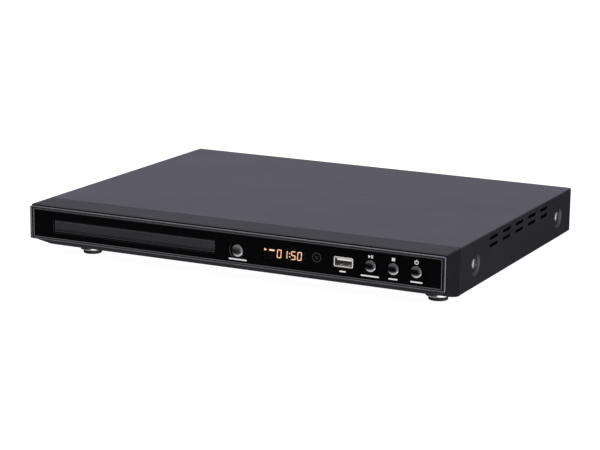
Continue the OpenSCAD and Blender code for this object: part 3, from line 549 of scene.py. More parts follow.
# painted light: the white print glows a little so it reads brighter
M["print"] = surface("white_print", (0.86, 0.86, 0.88, 1), rough=0.5, grain=(0.15, 0.002), mottle=(0.5, 0.06), rough_var=0.05,
                     emit=(1, 1, 1, 1), emit_strength=0.3)
M["print_grey"] = surface("grey_print", (0.055, 0.055, 0.058, 1), rough=0.45, grain=(0.15, 0.002), mottle=(0.5, 0.1), rough_var=0.05)
M["shell"] = surface("bright_shell", (0.88, 0.87, 0.84, 1), rough=0.34, metal=0.8, brush=((0.04, 1, 1), 0.003), mottle=(2.0, 0.06),
                     rough_var=0.05, round_mm=0.0)
# painted shade and reflection: the socket's inside walls and back take a dark olive-brown copy of the bright shell
# metal
M["socket_inside_painted_shade"] = surface("socket_inside_painted_shade", (0.17, 0.155, 0.125, 1), rough=0.45, metal=0.5, grain=(0.2, 0.003), mottle=(1.5, 0.15))
# painted light: the white tongue glows a little so it reads bright inside the socket
M["tongue"] = surface("tongue_white", (0.78, 0.77, 0.71, 1), rough=0.4, grain=(0.2, 0.003), mottle=(1.0, 0.04), sheen=0.1,
                      emit=(1, 0.99, 0.95, 1), emit_strength=0.5)
M["gold"] = surface("contact_gold", (0.75, 0.52, 0.20, 1), rough=0.25, metal=1.0, mottle=(0.6, 0.1))
M["rubber"] = surface("black_rubber", (0.014, 0.014, 0.0145, 1), rough=0.72, spec=0.35, grain=(0.3, 0.02), mottle=(1.2, 0.2), rough_var=0.08)
M["foot"] = surface("foot_metal", (0.62, 0.62, 0.64, 1), rough=0.26, metal=1.0, brush=((1, 1, 0.04), 0.004), mottle=(3.0, 0.08),
                    rough_var=0.06, wear=(0.3, 0.3, (0.8, 0.8, 0.82, 1)))
M["screw"] = surface("screw_steel", (0.24, 0.24, 0.25, 1), rough=0.34, metal=1.0, grain=(0.25, 0.004), mottle=(0.8, 0.18), rough_var=0.1,
                     wear=(0.2, 0.5, (0.75, 0.75, 0.76, 1)), round_mm=0.06)
M["zinc"] = surface("plated_steel", (0.46, 0.47, 0.48, 1), rough=0.38, metal=1.0, grain=(0.6, 0.004), mottle=(7.0, 0.16), rough_var=0.1,
                    smudge=14.0, round_mm=0.25)
M["rear"] = surface("rear_paint", (0.022, 0.022, 0.025, 1), rough=0.48, spec=0.5, grain=(0.3, 0.010), peel=(1.5, 0.005), mottle=(0.9, 0.12),
                    rough_var=0.04, specks=(1.1, 0.10, 0.3), round_mm=0.2)
M["socket"] = surface("socket_black", (0.016, 0.016, 0.0175, 1), rough=0.5, grain=(0.3, 0.008), mottle=(1.2, 0.12), round_mm=0.25)
M["board"] = surface("circuit_green", (0.018, 0.11, 0.045, 1), rough=0.35, coat=0.3, grain=(0.8, 0.006), mottle=(2.5, 0.25), round_mm=0.1)
M["board_tan"] = surface("circuit_tan", (0.30, 0.18, 0.075, 1), rough=0.5, grain=(0.5, 0.01), mottle=(1.8, 0.2), round_mm=0.1)
M["loader"] = surface("loader_plastic", (0.020, 0.020, 0.022, 1), rough=0.5, grain=(0.35, 0.01), mottle=(1.5, 0.14), round_mm=0.3)
M["tray"] = surface("tray_plastic", (0.018, 0.018, 0.020, 1), rough=0.40, spec=0.5, grain=(0.28, 0.006), mottle=(1.4, 0.10), rough_var=0.05,
                    wear=(0.4, 0.25, (0.06, 0.06, 0.062, 1)))
M["nylon"] = surface("white_nylon", (0.72, 0.72, 0.67, 1), rough=0.38, grain=(0.3, 0.004), mottle=(2.0, 0.05), round_mm=0.15)
M["motor"] = surface("motor_steel", (0.45, 0.46, 0.48, 1), rough=0.3, metal=1.0, brush=((1, 1, 0.05), 0.004), mottle=(4.0, 0.1), round_mm=0.2)
M["rod"] = surface("rod_steel", (0.62, 0.63, 0.64, 1), rough=0.16, metal=1.0, brush=((1, 0.04, 1), 0.002), mottle=(3.0, 0.06), round_mm=0.1)
M["table"] = surface("turntable_plastic", (0.02, 0.02, 0.022, 1), rough=0.45, grain=(0.25, 0.006), mottle=(1.2, 0.1), round_mm=0.15)
M["brass"] = surface("screw_brass", (0.62, 0.44, 0.16, 1), rough=0.26, metal=1.0, grain=(0.3, 0.002), mottle=(2.0, 0.12))
M["cast"] = surface("pickup_metal", (0.12, 0.12, 0.135, 1), rough=0.48, metal=0.7, grain=(0.4, 0.012), mottle=(1.4, 0.14), round_mm=0.25)
M["magnet"] = surface("magnet_grey", (0.16, 0.16, 0.175, 1), rough=0.5, metal=0.5, grain=(0.3, 0.01), mottle=(1.0, 0.2), round_mm=0.2)
M["chip"] = surface("chip_black", (0.016, 0.016, 0.018, 1), rough=0.62, grain=(0.2, 0.01), mottle=(0.8, 0.15), round_mm=0.1)
M["cap"] = surface("capacitor_sleeve", (0.012, 0.02, 0.075, 1), rough=0.22, coat=0.3, mottle=(2.0, 0.1), peel=(1.5, 0.003), round_mm=0.2)
M["ivory"] = surface("connector_ivory", (0.66, 0.61, 0.50, 1), rough=0.45, grain=(0.3, 0.006), mottle=(1.5, 0.06), round_mm=0.2)
M["tape"] = surface("transformer_tape", (0.55, 0.36, 0.05, 1), rough=0.25, coat=0.4, brush=((1, 1, 0.08), 0.01), mottle=(3.0, 0.12), round_mm=0.2)
M["alu"] = surface("heat_sink_alu", (0.45, 0.46, 0.48, 1), rough=0.34, metal=1.0, brush=((1, 1, 0.03), 0.008), mottle=(4.0, 0.1), round_mm=0.15)
M["ribbon"] = surface("ribbon_grey", (0.62, 0.62, 0.64, 1), rough=0.45, grain=(0.3, 0.003), mottle=(2.0, 0.05))
M["lead"] = surface("lead_sleeve", (0.28, 0.022, 0.016, 1), rough=0.4, grain=(0.3, 0.004), mottle=(2.0, 0.08))
M["amber"] = surface("amber_light", (0.5, 0.16, 0.05, 1), rough=0.4, mottle=(0.4, 0.05), emit=(1.0, 0.68, 0.5, 1), emit_strength=3.8)
# painted glow: dim amber emitters around the lit segments stand in for their light spreading in the window
M["amber_dim"] = surface("amber_painted_glow", (0.10, 0.03, 0.012, 1), rough=0.5, mottle=(0.4, 0.05), emit=(1.0, 0.26, 0.06, 1), emit_strength=0.9)


def window_material():
    g = Graph("smoked_window")
    b = g.bsdf
    b.inputs["Specular IOR Level"].default_value = 0.35
    b.inputs["Alpha"].default_value = 0.42
    g.link(g.mix(g.remap(g.noise(9.0, 3.0), 0.3, 0.7, 0, 1), (0.0022, 0.0018, 0.002, 1), (0.0032, 0.0024, 0.0028, 1)), b.inputs["Base Color"])
    g.link(g.remap(g.noise(16.0, 4.0, 0.6, 0.3), 0.3, 0.7, 0.05, 0.10), b.inputs["Roughness"])
    g.link(g.bump(g.noise(3.2, 2.0), 0.0016), b.inputs["Normal"])
    return g.mat


def lens_material():
    g = Graph("lens_clear")
    b = g.bsdf
    b.inputs["Transmission Weight"].default_value = 0.85
    b.inputs["IOR"].default_value = 1.49
    b.inputs["Coat Weight"].default_value = 0.6
    lw = g.node("ShaderNodeLayerWeight")
    lw.inputs["Blend"].default_value = 0.4
    g.link(g.mix(g.remap(lw.outputs["Facing"], 0.1, 0.9, 0, 1), (0.55, 0.75, 0.88, 1), (0.35, 0.25, 0.62, 1)), b.inputs["Base Color"])
    g.link(g.remap(g.noise(1.2, 3.0), 0.3, 0.7, 0.03, 0.08), b.inputs["Roughness"])
    return g.mat


M["window"] = window_material()
M["lens"] = lens_material()


# ---------------------------------------------------------------- top cover, folded from one sheet
BEND, HEM = 1.0, 0.9
TOP_HALF = HX - BEND
U1 = TOP_HALF + BEND * math.pi / 2
SIDE = TOP - BEND - FOOT - HEM
U2 = U1 + SIDE
U3 = U2 + HEM * math.pi / 2
HEM_FLAT = HX - HEM - 157.85
U4 = U3 + HEM_FLAT


def fold(u, v, n):
    """A place on the sheet: u round the section from the middle of the top, v back from the front plane, n inwards."""
    s, a = (1 if u >= 0 else -1), abs(u)
    if a <= TOP_HALF:
        x, z = a, TOP - n
    elif a <= U1:
        p = (a - TOP_HALF) / BEND
        x, z = TOP_HALF + (BEND - n) * math.sin(p), TOP - BEND + (BEND - n) * math.cos(p)
    elif a <= U2:
        x, z = HX - n, TOP - BEND - (a - U1)
    elif a <= U3:
        p = (a - U2) / HEM
        x, z = HX - HEM + (HEM - n) * math.cos(p), FOOT + HEM - (HEM - n) * math.sin(p)
    else:
        x, z = HX - HEM - (a - U3), FOOT + n
    return (s * x, v, z)


def smooth01(t):
    t = min(1.0, max(0.0, t))
    return t * t * (3 - 2 * t)


def dimple_depth(r):
    return 1.4 * (1 - smooth01((r - 5.7) / (8.7 - 5.7)))


def build_cover():
    s = Shape()
    bends = [TOP_HALF + (U1 - TOP_HALF) * k / 6 for k in range(7)] + [U2 + (U3 - U2) * k / 5 for k in range(6)]
    lines = sorted([-b for b in bends] + bends)
    v0, v1 = BEZ + 0.03, DEEP

    def rect(du, dv0, dv1, n):
        us = [-U4 + du] + lines + [U4 - du]
        return s.pts([(u, v0 + dv0, n) for u in us] + [(u, v1 - dv1, n) for u in reversed(us)])

    rounds = [(0.28, 0.16, 0.0), (0.12, 0.06, 0.05), (0.0, 0.0, 0.18)]
    outer = [rect(0.0, a, b, n) for a, b, n in rounds] + [rect(0.0, 0.0, 0.0, SHEET)]
    for k in range(len(outer) - 1):
        s.strip(outer[k], outer[k + 1])
    top_loops, low_loops, extra_top, extra_low = [outer[0]], [outer[-1]], [], []
    m = len(lines) + 2
    for k in range(1, m - 1):
        extra_top.append([outer[0][k], outer[0][2 * m - 1 - k]])
        extra_low.append([outer[-1][k], outer[-1][2 * m - 1 - k]])
    for side in (1, -1):
        for i in range(5):
            for z in (TOP - 5.1, TOP - 10.3):
                u = U1 + (TOP - BEND - z)
                a = 79.5 + i * 25.4
                slot = rrect(a, a + 17, u - 1.2, u + 1.2, 1.2, 6)
                rows = [s.pts([(side * q, p, n) for p, q in slot(d)]) for d, n in ((0.22, 0.0), (0.07, 0.06), (0.0, 0.24), (0.0, SHEET))]
                for k in range(3):
                    s.strip(rows[k], rows[k + 1])
                top_loops.append(rows[0])
                low_loops.append(rows[-1])
        for y in SCREW_Y:
            u = U1 + (TOP - BEND - SCREW_Z)
            hole = [s.pts([(side * q, p, n + dimple_depth(1.5)) for p, q in ring(y, u, 1.5, 40)(0)]) for n in (0.0, SHEET)]
            s.strip(hole[0], hole[1])
            top_loops.append(hole[0])
            low_loops.append(hole[1])
            for r in (3.2, 5.7, 6.1, 6.5, 6.9, 7.3, 7.7, 8.1, 8.7):
                for n, keep in ((0.0, extra_top), (SHEET, extra_low)):
                    c = s.pts([(side * q, p, n + dimple_depth(r)) for p, q in ring(y, u, r, 40)(0)])
                    keep.append(c + [c[0]])
    s.fill(top_loops, (0, 1), 0, extra_top)
    s.fill(low_loops, (0, 1), 1, extra_low)
    out = s.moved(fold)
    # lip that folds down over the rear panel
    lip = rrect(-HX + 0.9, HX - 0.9, 31.5, TOP - SHEET + 0.02, 0.3, 3)
    holes = [(ring(x, TOP - 3, 1.5, 32), [(0, DEEP - SHEET), (0.0, DEEP - 0.15), (0.12, DEEP)]) for x in (-130, 0, 130)]
    out.join(plate(lip, [(0, DEEP - SHEET), (0, DEEP - 0.25), (-0.07, DEEP - 0.07), (-0.25, DEEP)], holes))
    return out


add("cover_shell", build_cover(), "chassis", [M["cover"], M["cover_in"]], "top_cover", sharp=32)


# ---------------------------------------------------------------- moulded front
def bezel_path(y_front, r, inset_side=0.0, back=BEZ):
    """The moulding's outline seen from above: from the back of one side, round the front, to the back of the other."""
    x = HX - inset_side
    out = [(-x, back), (-x, (back + y_front + r) / 2)]
    n = 8
    for i in range(n + 1):
        t = math.radians(90 * i / n)
        out.append((-x + r - r * math.cos(t), y_front + r - r * math.sin(t)))
    for i in range(n + 1):
        t = math.radians(90 * (n - i) / n)
        out.append((x - r + r * math.cos(t), y_front + r - r * math.sin(t)))
    out += [(x, (back + y_front + r) / 2), (x, back)]
    return out


def nose(z):
    """How far back the front edge of the roof is at a height."""
    return float(np.interp(z, [TOP - 1.2, TOP - 0.75, TOP - 0.45, TOP - 0.15, TOP - 0.03, TOP], [1.0, 1.65, 2.4, 3.4, 4.3, 4.8]))


def build_bezel():
    s = Shape()
    rows = []
    # rounded upper edges
    n = 8
    for k in range(n + 1):
        t = math.radians(90 * (n - k) / n)
        z = TOP - 1.2 + 1.2 * math.sin(t)
        path = bezel_path(nose(z), 0.12, 1.2 * (1 - math.cos(t)), BEZ - 0.06 * (k == 0))
        rows.append(s.pts([(x, y, z) for x, y in path]))
    z0, z1 = TRIM_BOT - 0.3, FOOT + 0.35
    for z in (30.0, 22.0, 14.0, z0 + 0.15):
        rows.append(s.pts([(x, y, z) for x, y in bezel_path(1.0, 0.12)]))
    rows.append(s.pts([(x, y, z0) for x, y in bezel_path(1.12, 0.12, 0.12)]))
    # chin: the front slopes back, and its corners turn round
    for k in range(9):
        t = k / 8
        z = z0 + (z1 - z0) * t
        f = (z0 - z) / (z0 - FOOT)
        rows.append(s.pts([(x, y, z) for x, y in bezel_path(1.0 + 0.2 * (k == 0) + 19.5 * f, 7.0 - 0.8 * f, 0.15 * (k == 0))]))
    for k in (1, 2, 3):
        t = math.radians(30 * k)
        g = 0.35 * (1 - math.cos(t))
        path = bezel_path(20.5 - 0.8 + 0.8 * math.sin(t) + g, 5.75, g)
        rows.append(s.pts([(x, y, FOOT + 0.35 - 0.35 * math.sin(t)) for x, y in path]))
    for k in range(len(rows) - 1):
        s.strip(rows[k], rows[k + 1], closed=False)
    # back face, roof and floor
    ends = [r[0] for r in rows] + [r[-1] for r in reversed(rows)]
    s.face(ends)
    s.fill([rows[0]], (0, 1))
    s.fill([rows[-1]], (0, 1))
    cuts = [block(-HX + 2, HX - 2, 3.6, BEZ + 1, TRIM_BOT + 1.5, TOP - 2.6)]
    chin = prism([(3.6, TRIM_BOT + 2), (3.6, TRIM_BOT + 1), (21.1, 6.6), (BEZ + 1, 6.6), (BEZ + 1, TRIM_BOT + 2)], -HX + 7, HX - 7)
    cuts.append(chin.moved(lambda x, y, z: (y, x, z)))
    cuts.append(plate(rrect(-HX + 2.2, HX - 2.2, TRIM_BOT + 1.1, TRIM_TOP - 1.1, 1.2), [(0, -1), (0, 1.6)]))
    cuts.append(plate(rrect(DISC_X - 65.4, DISC_X + 65.4, DOOR_Z - 4.7, DOOR_Z + 4.7, 0.3), [(0, -1), (0, 5)]))
    cuts.append(plate(ring(OPEN_X, OPEN_Z, 5), [(0, 0), (0, 5)]))
    gap = plate(rrect(-HX - 1, HX + 1, TRIM_BOT - 2, TRIM_TOP + 2, 1), [(0, 0.95), (0, 2.4)],
                [(rrect(-HX + 0.7, HX - 0.7, TRIM_BOT + 0.7, TRIM_TOP - 0.6, 0.5), [(0, 0.95), (0, 2.4)])])
    cuts.append(gap)
    cuts.append(block(25.5, 60.5, 0, 5, DOOR_Z - 5, DOOR_Z + 5.5))
    cuts.append(block(USB_X - 7.4, USB_X + 7.4, 0, 5, USB_Z - 3.8, USB_Z + 3.8))
    for x in SMALL_X:
        cuts.append(plate(ring(x, SMALL_Z, 4.3), [(0, 0), (0, 5)]))
    me = carve(s, cuts)
    more = Shape()
    for m in (1, -1):
        for b in (block(HX - 5, HX - 3.05, BEZ - 8, BEZ + 8, 12, 22, 0.3), block(HX - 3.15, HX - 2.35, 28, 30.5, 15, 19, 0.2),
                  block(HX - 5, HX - 1.95, BEZ - 8, BEZ - 1, 12, 22, 0.3)):
            more.join(b.moved(lambda x, y, z: (m * x, y, z)))
    for x, z in ((18, 31.5), (68, 18), (99.3, 31.5), (149.5, 24.2)):
        more.join(lathe([(1.1, 13.0), (1.9, 13.0), (2.2, 12.7), (2.2, 3.55), (1.1, 3.55)], (x, 0, z), "y", 32))
    bm = bmesh.new()
    bm.from_mesh(me)
    bm.from_mesh(mesh_of(more))
    bm.to_mesh(me)
    bm.free()
    return me


add("front_moulding", build_bezel(), "chassis", [M["bezel"], M["bezel"], M["bezel"]], "front_bezel", sharp=28)


def bead(outer, inner, prof):
    """A ring between two matching outlines; prof is (share of the way in, depth)."""
    s = Shape()
    a, b = outer(0), inner(0)
    rows = [s.pts([(p[0] * (1 - t) + q[0] * t, y, p[1] * (1 - t) + q[1] * t) for p, q in zip(a, b)]) for t, y in prof]
    for k in range(len(rows)):
        s.strip(rows[k], rows[(k + 1) % len(rows)])
    return s


add("silver_bead", bead(rrect(-HX, HX, TRIM_BOT, TRIM_TOP, 1.3, 10), rrect(-HX + 1.5, HX - 1.5, TRIM_BOT + 1.05, TRIM_TOP - 1.0, 0.6, 10),
                        [(0, 0.97), (0, 0.5), (0.03, 0.28), (0.12, 0.10), (0.28, 0.02), (0.5, 0.0), (0.72, 0.02), (0.88, 0.10), (0.97, 0.28), (1, 0.5), (1, 0.97)]),
    "chassis", M["trim"], "front_trim", sharp=50)


def build_panel():
    out = rrect(-HX + 2.4, HX - 2.4, TRIM_BOT + 1.3, TRIM_TOP - 1.3, 1.1, 10)
    edge = [(-0.92, 0.30), (-0.84, 0.22), (-0.74, 0.13), (-0.62, 0.07), (-0.5, 0.05), (-0.38, 0.06), (-0.25, 0.11), (-0.14, 0.2), (-0.06, 0.34), (0, 0.55), (0, 1.6)]
    mouth = rrect(DISC_X - 65.4, DISC_X + 65.4, DOOR_Z - 4.7, DOOR_Z + 4.7, 0.35, 4)
    holes = [(mouth, hole_edge(0.3, 1.6, 0.14))]

    def dish(x, z, r_out, r_in, n):
        prof = [(r_out + 0.12, 0.3), (r_out, 0.34)]
        for k in range(1, 7):
            t = k / 6
            prof.append((r_out + (r_in - r_out) * t, 0.34 + 1.1 * (t ** 0.75)))
        prof.append((r_in, 1.6))
        return (ring(x, z, 0.0, n), prof)

    holes.append(dish(OPEN_X, OPEN_Z, 6.1, 4.98, 64))
    for x in SMALL_X:
        holes.append(dish(x, SMALL_Z, 5.1, 4.3, 56))
    holes.append((rrect(26, 60, DOOR_Z - 4.1, DOOR_Z + 5.1, 0.2, 3), [(0, 0.3), (0, 1.6)]))
    holes.append((rrect(USB_X - 7.25, USB_X + 7.25, USB_Z - 3.65, USB_Z + 3.65, 0.5, 4), hole_edge(0.3, 1.6, 0.1)))
    s = plate(out, edge, holes, mat=0, side=0)
    return s


panel_shape = build_panel()
# the raised rim takes the satin finish
rim_faces = []
for k, f in enumerate(panel_shape.f):
    ys = [panel_shape.v[i][1] for i in f]
    xs = [panel_shape.v[i][0] for i in f]
    zs = [panel_shape.v[i][2] for i in f]
    near = max(abs(min(xs)), abs(max(xs))) > HX - 3.4 or max(zs) > TRIM_TOP - 2.3 or min(zs) < TRIM_BOT + 2.3
    if near and min(ys) < 0.345 and max(ys) < 0.6 and max(ys) - min(ys) > 1e-4:
        panel_shape.m[k] = 1
add("gloss_panel", panel_shape, "chassis", [M["gloss"], M["rim"]], "front_panel", sharp=40)

add("window_lens", plate(rrect(26.04, 59.96, DOOR_Z - 4.06, DOOR_Z + 5.06, 0.18, 3), soft_edge(0.3, 0.9, 0.04, 2)), "chassis",
    M["window"], "display_window")


# ---------------------------------------------------------------- tray door
def build_door():
    x0, x1 = DISC_X - DOOR_W / 2, DISC_X + DOOR_W / 2
    z0, z1 = DOOR_Z - DOOR_H / 2, DOOR_Z + DOOR_H / 2
    body = plate(rrect(x0, x1, z0, z1, 0.4, 4), soft_edge(0.5, 3.3, 0.14, 3),
                 mat=1, side=1)
    pad = plate(rrect(x0 + 0.6, x1 - 0.6, z0 + 2.3, z1 - 0.5, 0.3, 4), soft_edge(0.3, 0.7, 0.12, 3), mat=0, side=0)
    lip = block(x0 + 0.05, x1 - 0.05, 0.42, 0.8, z0 + 0.75, z0 + 1.5, 0.12)
    for k in range(len(lip.f)):
        lip.m[k] = 1
    cuts = [block(x0 + 2, x1 - 2, 2, 3.2, z0 + 1.2, z1 - 1.2), block(x0 - 1, x1 + 1, 0, 1.1, z0 + 1.5, z0 + 2.3)]
    for k in range(len(body.f)):
        body.m[k] = 2
    return carve(body, cuts), pad.join(lip)


door_mesh, pad = build_door()
bm = bmesh.new()
bm.from_mesh(door_mesh)
bm.from_mesh(mesh_of(pad))
bm.to_mesh(door_mesh)
bm.free()
add("door_cover", door_mesh, "tray", [M["door"], M["door_lip"], M["door_body"]], "tray_door", sharp=40)


# ---------------------------------------------------------------- buttons
def paint_lower_highlight(mat, value):
    """Painted highlight on a domed button: the base colour turns light where the surface faces down, standing in for a
    reflection of the bright floor.
    """
    t = mat.node_tree
    shader = next(n for n in t.nodes if n.type == "BSDF_PRINCIPLED")
    base = shader.inputs["Base Color"]
    geo, cut = t.nodes.new("ShaderNodeNewGeometry"), t.nodes.new("ShaderNodeSeparateXYZ")
    rng, mix = t.nodes.new("ShaderNodeMapRange"), t.nodes.new("ShaderNodeMix")
    mix.data_type, rng.interpolation_type = "RGBA", "SMOOTHSTEP"
    for k, v in (("From Min", -0.12), ("From Max", -0.42), ("To Min", 0.0), ("To Max", 1.0)):
        rng.inputs[k].default_value = v
    t.links.new(geo.outputs["True Normal"], cut.inputs[0])
    t.links.new(cut.outputs["Z"], rng.inputs["Value"])
    t.links.new(rng.outputs["Result"], mix.inputs[0])
    if base.links:
        t.links.new(base.links[0].from_socket, mix.inputs[6])
    else:
        mix.inputs[6].default_value = base.default_value
    mix.inputs[7].default_value = value
    t.links.new(mix.outputs[2], base)


# painted highlight on the lower curve of the button caps
paint_lower_highlight(M["cap_grey"], (0.85, 0.85, 0.87, 1))
paint_lower_highlight(M["cap_gloss"], (0.9, 0.9, 0.92, 1))


def build_button(x, z, r, dome, flange):
    prof = [(0, -1.5)]
    n = 16
    for k in range(1, n + 1):
        t = math.radians(90 * k / n)
        prof.append((r * math.sin(t), -1.5 + dome * (1 - math.cos(t))))
    prof += [(r, 3.9), (flange - 0.15, 3.9), (flange, 4.05), (flange, 4.55), (flange - 0.15, 4.7), (2, 4.7), (1.5, 5.2), (1.5, 8.2), (1.3, 8.4), (0, 8.4)]
    return lathe(prof, (x, 0, z), "y", 64)


add("open_cap", build_button(OPEN_X, OPEN_Z, 4.3, 1.6, 5.8), "open_close_button", M["cap_grey"], "open_close_button", sharp=40)
for name, x in zip(("play_pause", "stop", "power"), SMALL_X):
    add(name + "_cap", build_button(x, SMALL_Z, 4.1, 1.5, 5.0), name + "_button", M["cap_gloss"], name + "_button", sharp=40)


# ---------------------------------------------------------------- printed marks: plain pictograms and bars
def mark_tri(x, z, w, h):
    return prism([(x - w / 2, z - h / 2), (x + w / 2, z), (x - w / 2, z + h / 2)], 0.285, 0.305)


def mark_box(x0, x1, z0, z1, r=0.05):
    return plate(rrect(x0, x1, z0, z1, r, 3), [(0, 0.285), (0, 0.305)])


def mark_ring(x, z, r1, r0, a0=0, a1=360, n=48):
    s = Shape()
    full = a1 - a0 >= 360
    k = n if full else n + 1
    pts = [[(x + r * math.sin(math.radians(a0 + (a1 - a0) * i / n)), y, z + r * math.cos(math.radians(a0 + (a1 - a0) * i / n)))
            for i in range(k)] for r, y in ((r1, 0.285), (r1, 0.305), (r0, 0.305), (r0, 0.285))]
    rows = [s.pts(p) for p in pts]
    for i in range(4):
        s.strip(rows[i], rows[(i + 1) % 4], closed=full)
    if not full:
        s.face([r[0] for r in rows])
        s.face([r[-1] for r in rows][::-1])
    return s


white = Shape()
x, z = SMALL_X[0], TOP - 7.0
white.join(mark_tri(x - 0.75, z, 1.7, 2.1)).join(mark_box(x + 0.35, x + 0.85, z - 1.05, z + 1.05)).join(mark_box(x + 1.25, x + 1.75, z - 1.05, z + 1.05))
x = SMALL_X[1]
white.join(mark_box(x - 1.15, x + 1.15, z - 1.05, z + 1.05))
x = SMALL_X[2]
white.join(mark_ring(x, z, 1.5, 0.95, 28, 332)).join(mark_box(x - 0.26, x + 0.26, z + 0.15, z + 1.75))
# bars under the buttons and the socket
for x0, x1, zc in ((1.0, 14.8, 16.8), (84.2, 88.9, 17.95), (99.8, 113.0, 17.2), (119.8, 126.3, 17.2), (135.4, 144.1, 17.2)):
    white.join(mark_box(x0, x1, zc - 0.5, zc + 0.5, 0.45))
add("white_marks", white, "chassis", M["print"], sharp=30)
grey = Shape()
grey.join(mark_ring(67.4, 25.2, 3.3, 2.75)).join(mark_ring(67.4, 25.2, 1.15, 0.7))
add("grey_marks", grey, "chassis", M["print_grey"], sharp=30)


# ---------------------------------------------------------------- display
def seg(l, t, y0, y1):
    return [(-l / 2 + t / 2, -t / 2), (l / 2 - t / 2, -t / 2), (l / 2, 0), (l / 2 - t / 2, t / 2), (-l / 2 + t / 2, t / 2), (-l / 2, 0)]


LIT = {0: "abcdef", 1: "bc", 5: "acdfg"}


def digit(d, cx, cz, w=3.2, h=5.8, t=0.62, y0=1.05, y1=1.29):
    s = Shape()
    l, ww = (h - t) / 2, w - t
    at = {"a": (0, h / 2 - t / 2, 0), "b": (ww / 2, l / 2, 90), "c": (ww / 2, -l / 2, 90), "d": (0, -h / 2 + t / 2, 0), "e": (-ww / 2, -l / 2, 90),
          "f": (-ww / 2, l / 2, 90), "g": (0, 0, 0)}
    for k in LIT[d]:
        x, z, turn = at[k]
        pts = seg(l - 0.12 if turn else ww - 0.12, t, 0, 0)
        if turn:
            pts = [(-b, a) for a, b in pts]
        s.join(prism([(cx + x + z * 0.08 + a, cz + z + b) for a, b in pts], y0, y1))
    return s


# halo holds larger dim copies of the segments behind them, a painted glow
lit, halo = Shape(), Shape()
zc = DOOR_Z + 0.65
for cx, d in ((39, 0), (43.5, 1), (49.6, 5), (54.2, 0)):
    lit.join(digit(d, cx, zc, t=0.4))
    halo.join(digit(d, cx, zc, 3.5, 6.1, 0.95, 1.12, 1.29))
for dz in (-1.15, 1.15):
    lit.join(lathe([(0, 1.05), (0.38, 1.05), (0.38, 1.29), (0, 1.29)], (46.9, 0, zc + dz), "y", 20))
    halo.join(lathe([(0, 1.12), (0.6, 1.12), (0.6, 1.29), (0, 1.29)], (46.9, 0, zc + dz), "y", 20))
lit.join(prism([(27.9, zc + 1.1), (29.5, zc + 1.95), (27.9, zc + 2.8)], 1.05, 1.29))
lit.join(plate(rrect(31.6, 35.4, zc + 1.5, zc + 2.4, 0.3, 3), [(0, 1.05), (0, 1.29)]))
halo.join(prism([(27.6, zc + 0.7), (30.0, zc + 1.95), (27.6, zc + 3.2)], 1.12, 1.29))
halo.join(plate(rrect(31.35, 35.65, zc + 1.25, zc + 2.65, 0.4, 3), [(0, 1.12), (0, 1.29)]))
add("lit_segments", lit, "chassis", M["amber"], "display_segments", sharp=30)
add("segment_glow_halo", halo, "chassis", M["amber_dim"], sharp=30)


# ---------------------------------------------------------------- front socket
def build_usb():
    s = Shape()
    x0, x1, z0, z1 = USB_X - 7.1, USB_X + 7.1, USB_Z - 3.5, USB_Z + 3.5
    outer, inner = rrect(x0, x1, z0, z1, 1.0, 6), rrect(USB_X - 6.25, USB_X + 6.25, USB_Z - 2.56, USB_Z + 2.56, 0.35, 6)
    rim = [(0.0, 0.5), (0.0, 0.36)] + [(0.5 - 0.5 * math.cos(math.pi * k / 8), 0.36 - 0.26 * math.sin(math.pi * k / 8)) for k in range(1, 8)]
    s.join(bead(outer, inner, rim + [(1.0, 0.36), (1.0, 0.5)]))
    # tube behind the flared rim
    a, b = rrect(USB_X - 6.6, USB_X + 6.6, USB_Z - 2.95, USB_Z + 2.95, 0.6, 4), rrect(USB_X - 6.25, USB_X + 6.25, USB_Z - 2.56, USB_Z + 2.56, 0.35, 4)
    t = Shape()
    rows = [t.pts([(p, y, q) for p, q in f(0)]) for f, y in ((b, 0.45), (a, 0.45), (a, 13.0))]
    t.strip(rows[0], rows[1])
    t.strip(rows[1], rows[2])
    inner = t.pts([(p, 12.5, q) for p, q in b(0)])
    t.strip(rows[0], inner, 1)
    t.fill([inner], mat=1)
    t.fill([rows[2]])
    s.join(t)
    # spring tongues pressed out of the top and bottom
    for m in (1, -1):
        for dx in (-3.0, 3.0):
            s.join(block(USB_X + dx - 0.8, USB_X + dx + 0.8, 3.0, 6.4, USB_Z + m * 2.56 - 0.14, USB_Z + m * 2.56 + 0.14, 0.1))
    return s


usb_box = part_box("usb_tongue")
TONGUE_Y = usb_box[0].y / MM - YF
add("usb_shell_bright", build_usb(), "chassis", [M["shell"], M["socket_inside_painted_shade"]], "usb_shell", sharp=35)
tongue = plate(rrect(USB_X - 5.6, USB_X + 5.6, USB_Z + 0.5, USB_Z + 2.25, 0.25, 4), soft_edge(TONGUE_Y, 12.4, 0.2, 3))
tongue.join(block(USB_X - 6.2, USB_X + 6.2, 11.4, 12.45, USB_Z - 2.5, USB_Z + 2.5, 0.1), 2)
contacts = Shape()
for dx in (-3.5, -1.0, 1.0, 3.5):
    contacts.join(block(USB_X + dx - 0.5, USB_X + dx + 0.5, TONGUE_Y + 0.5, 11.3, USB_Z + 0.42, USB_Z + 0.54, 0.04))
tongue.join(contacts, 1)
add("usb_tongue_white", tongue, "chassis", [M["tongue"], M["gold"], M["socket_inside_painted_shade"]], "usb_tongue", sharp=35)


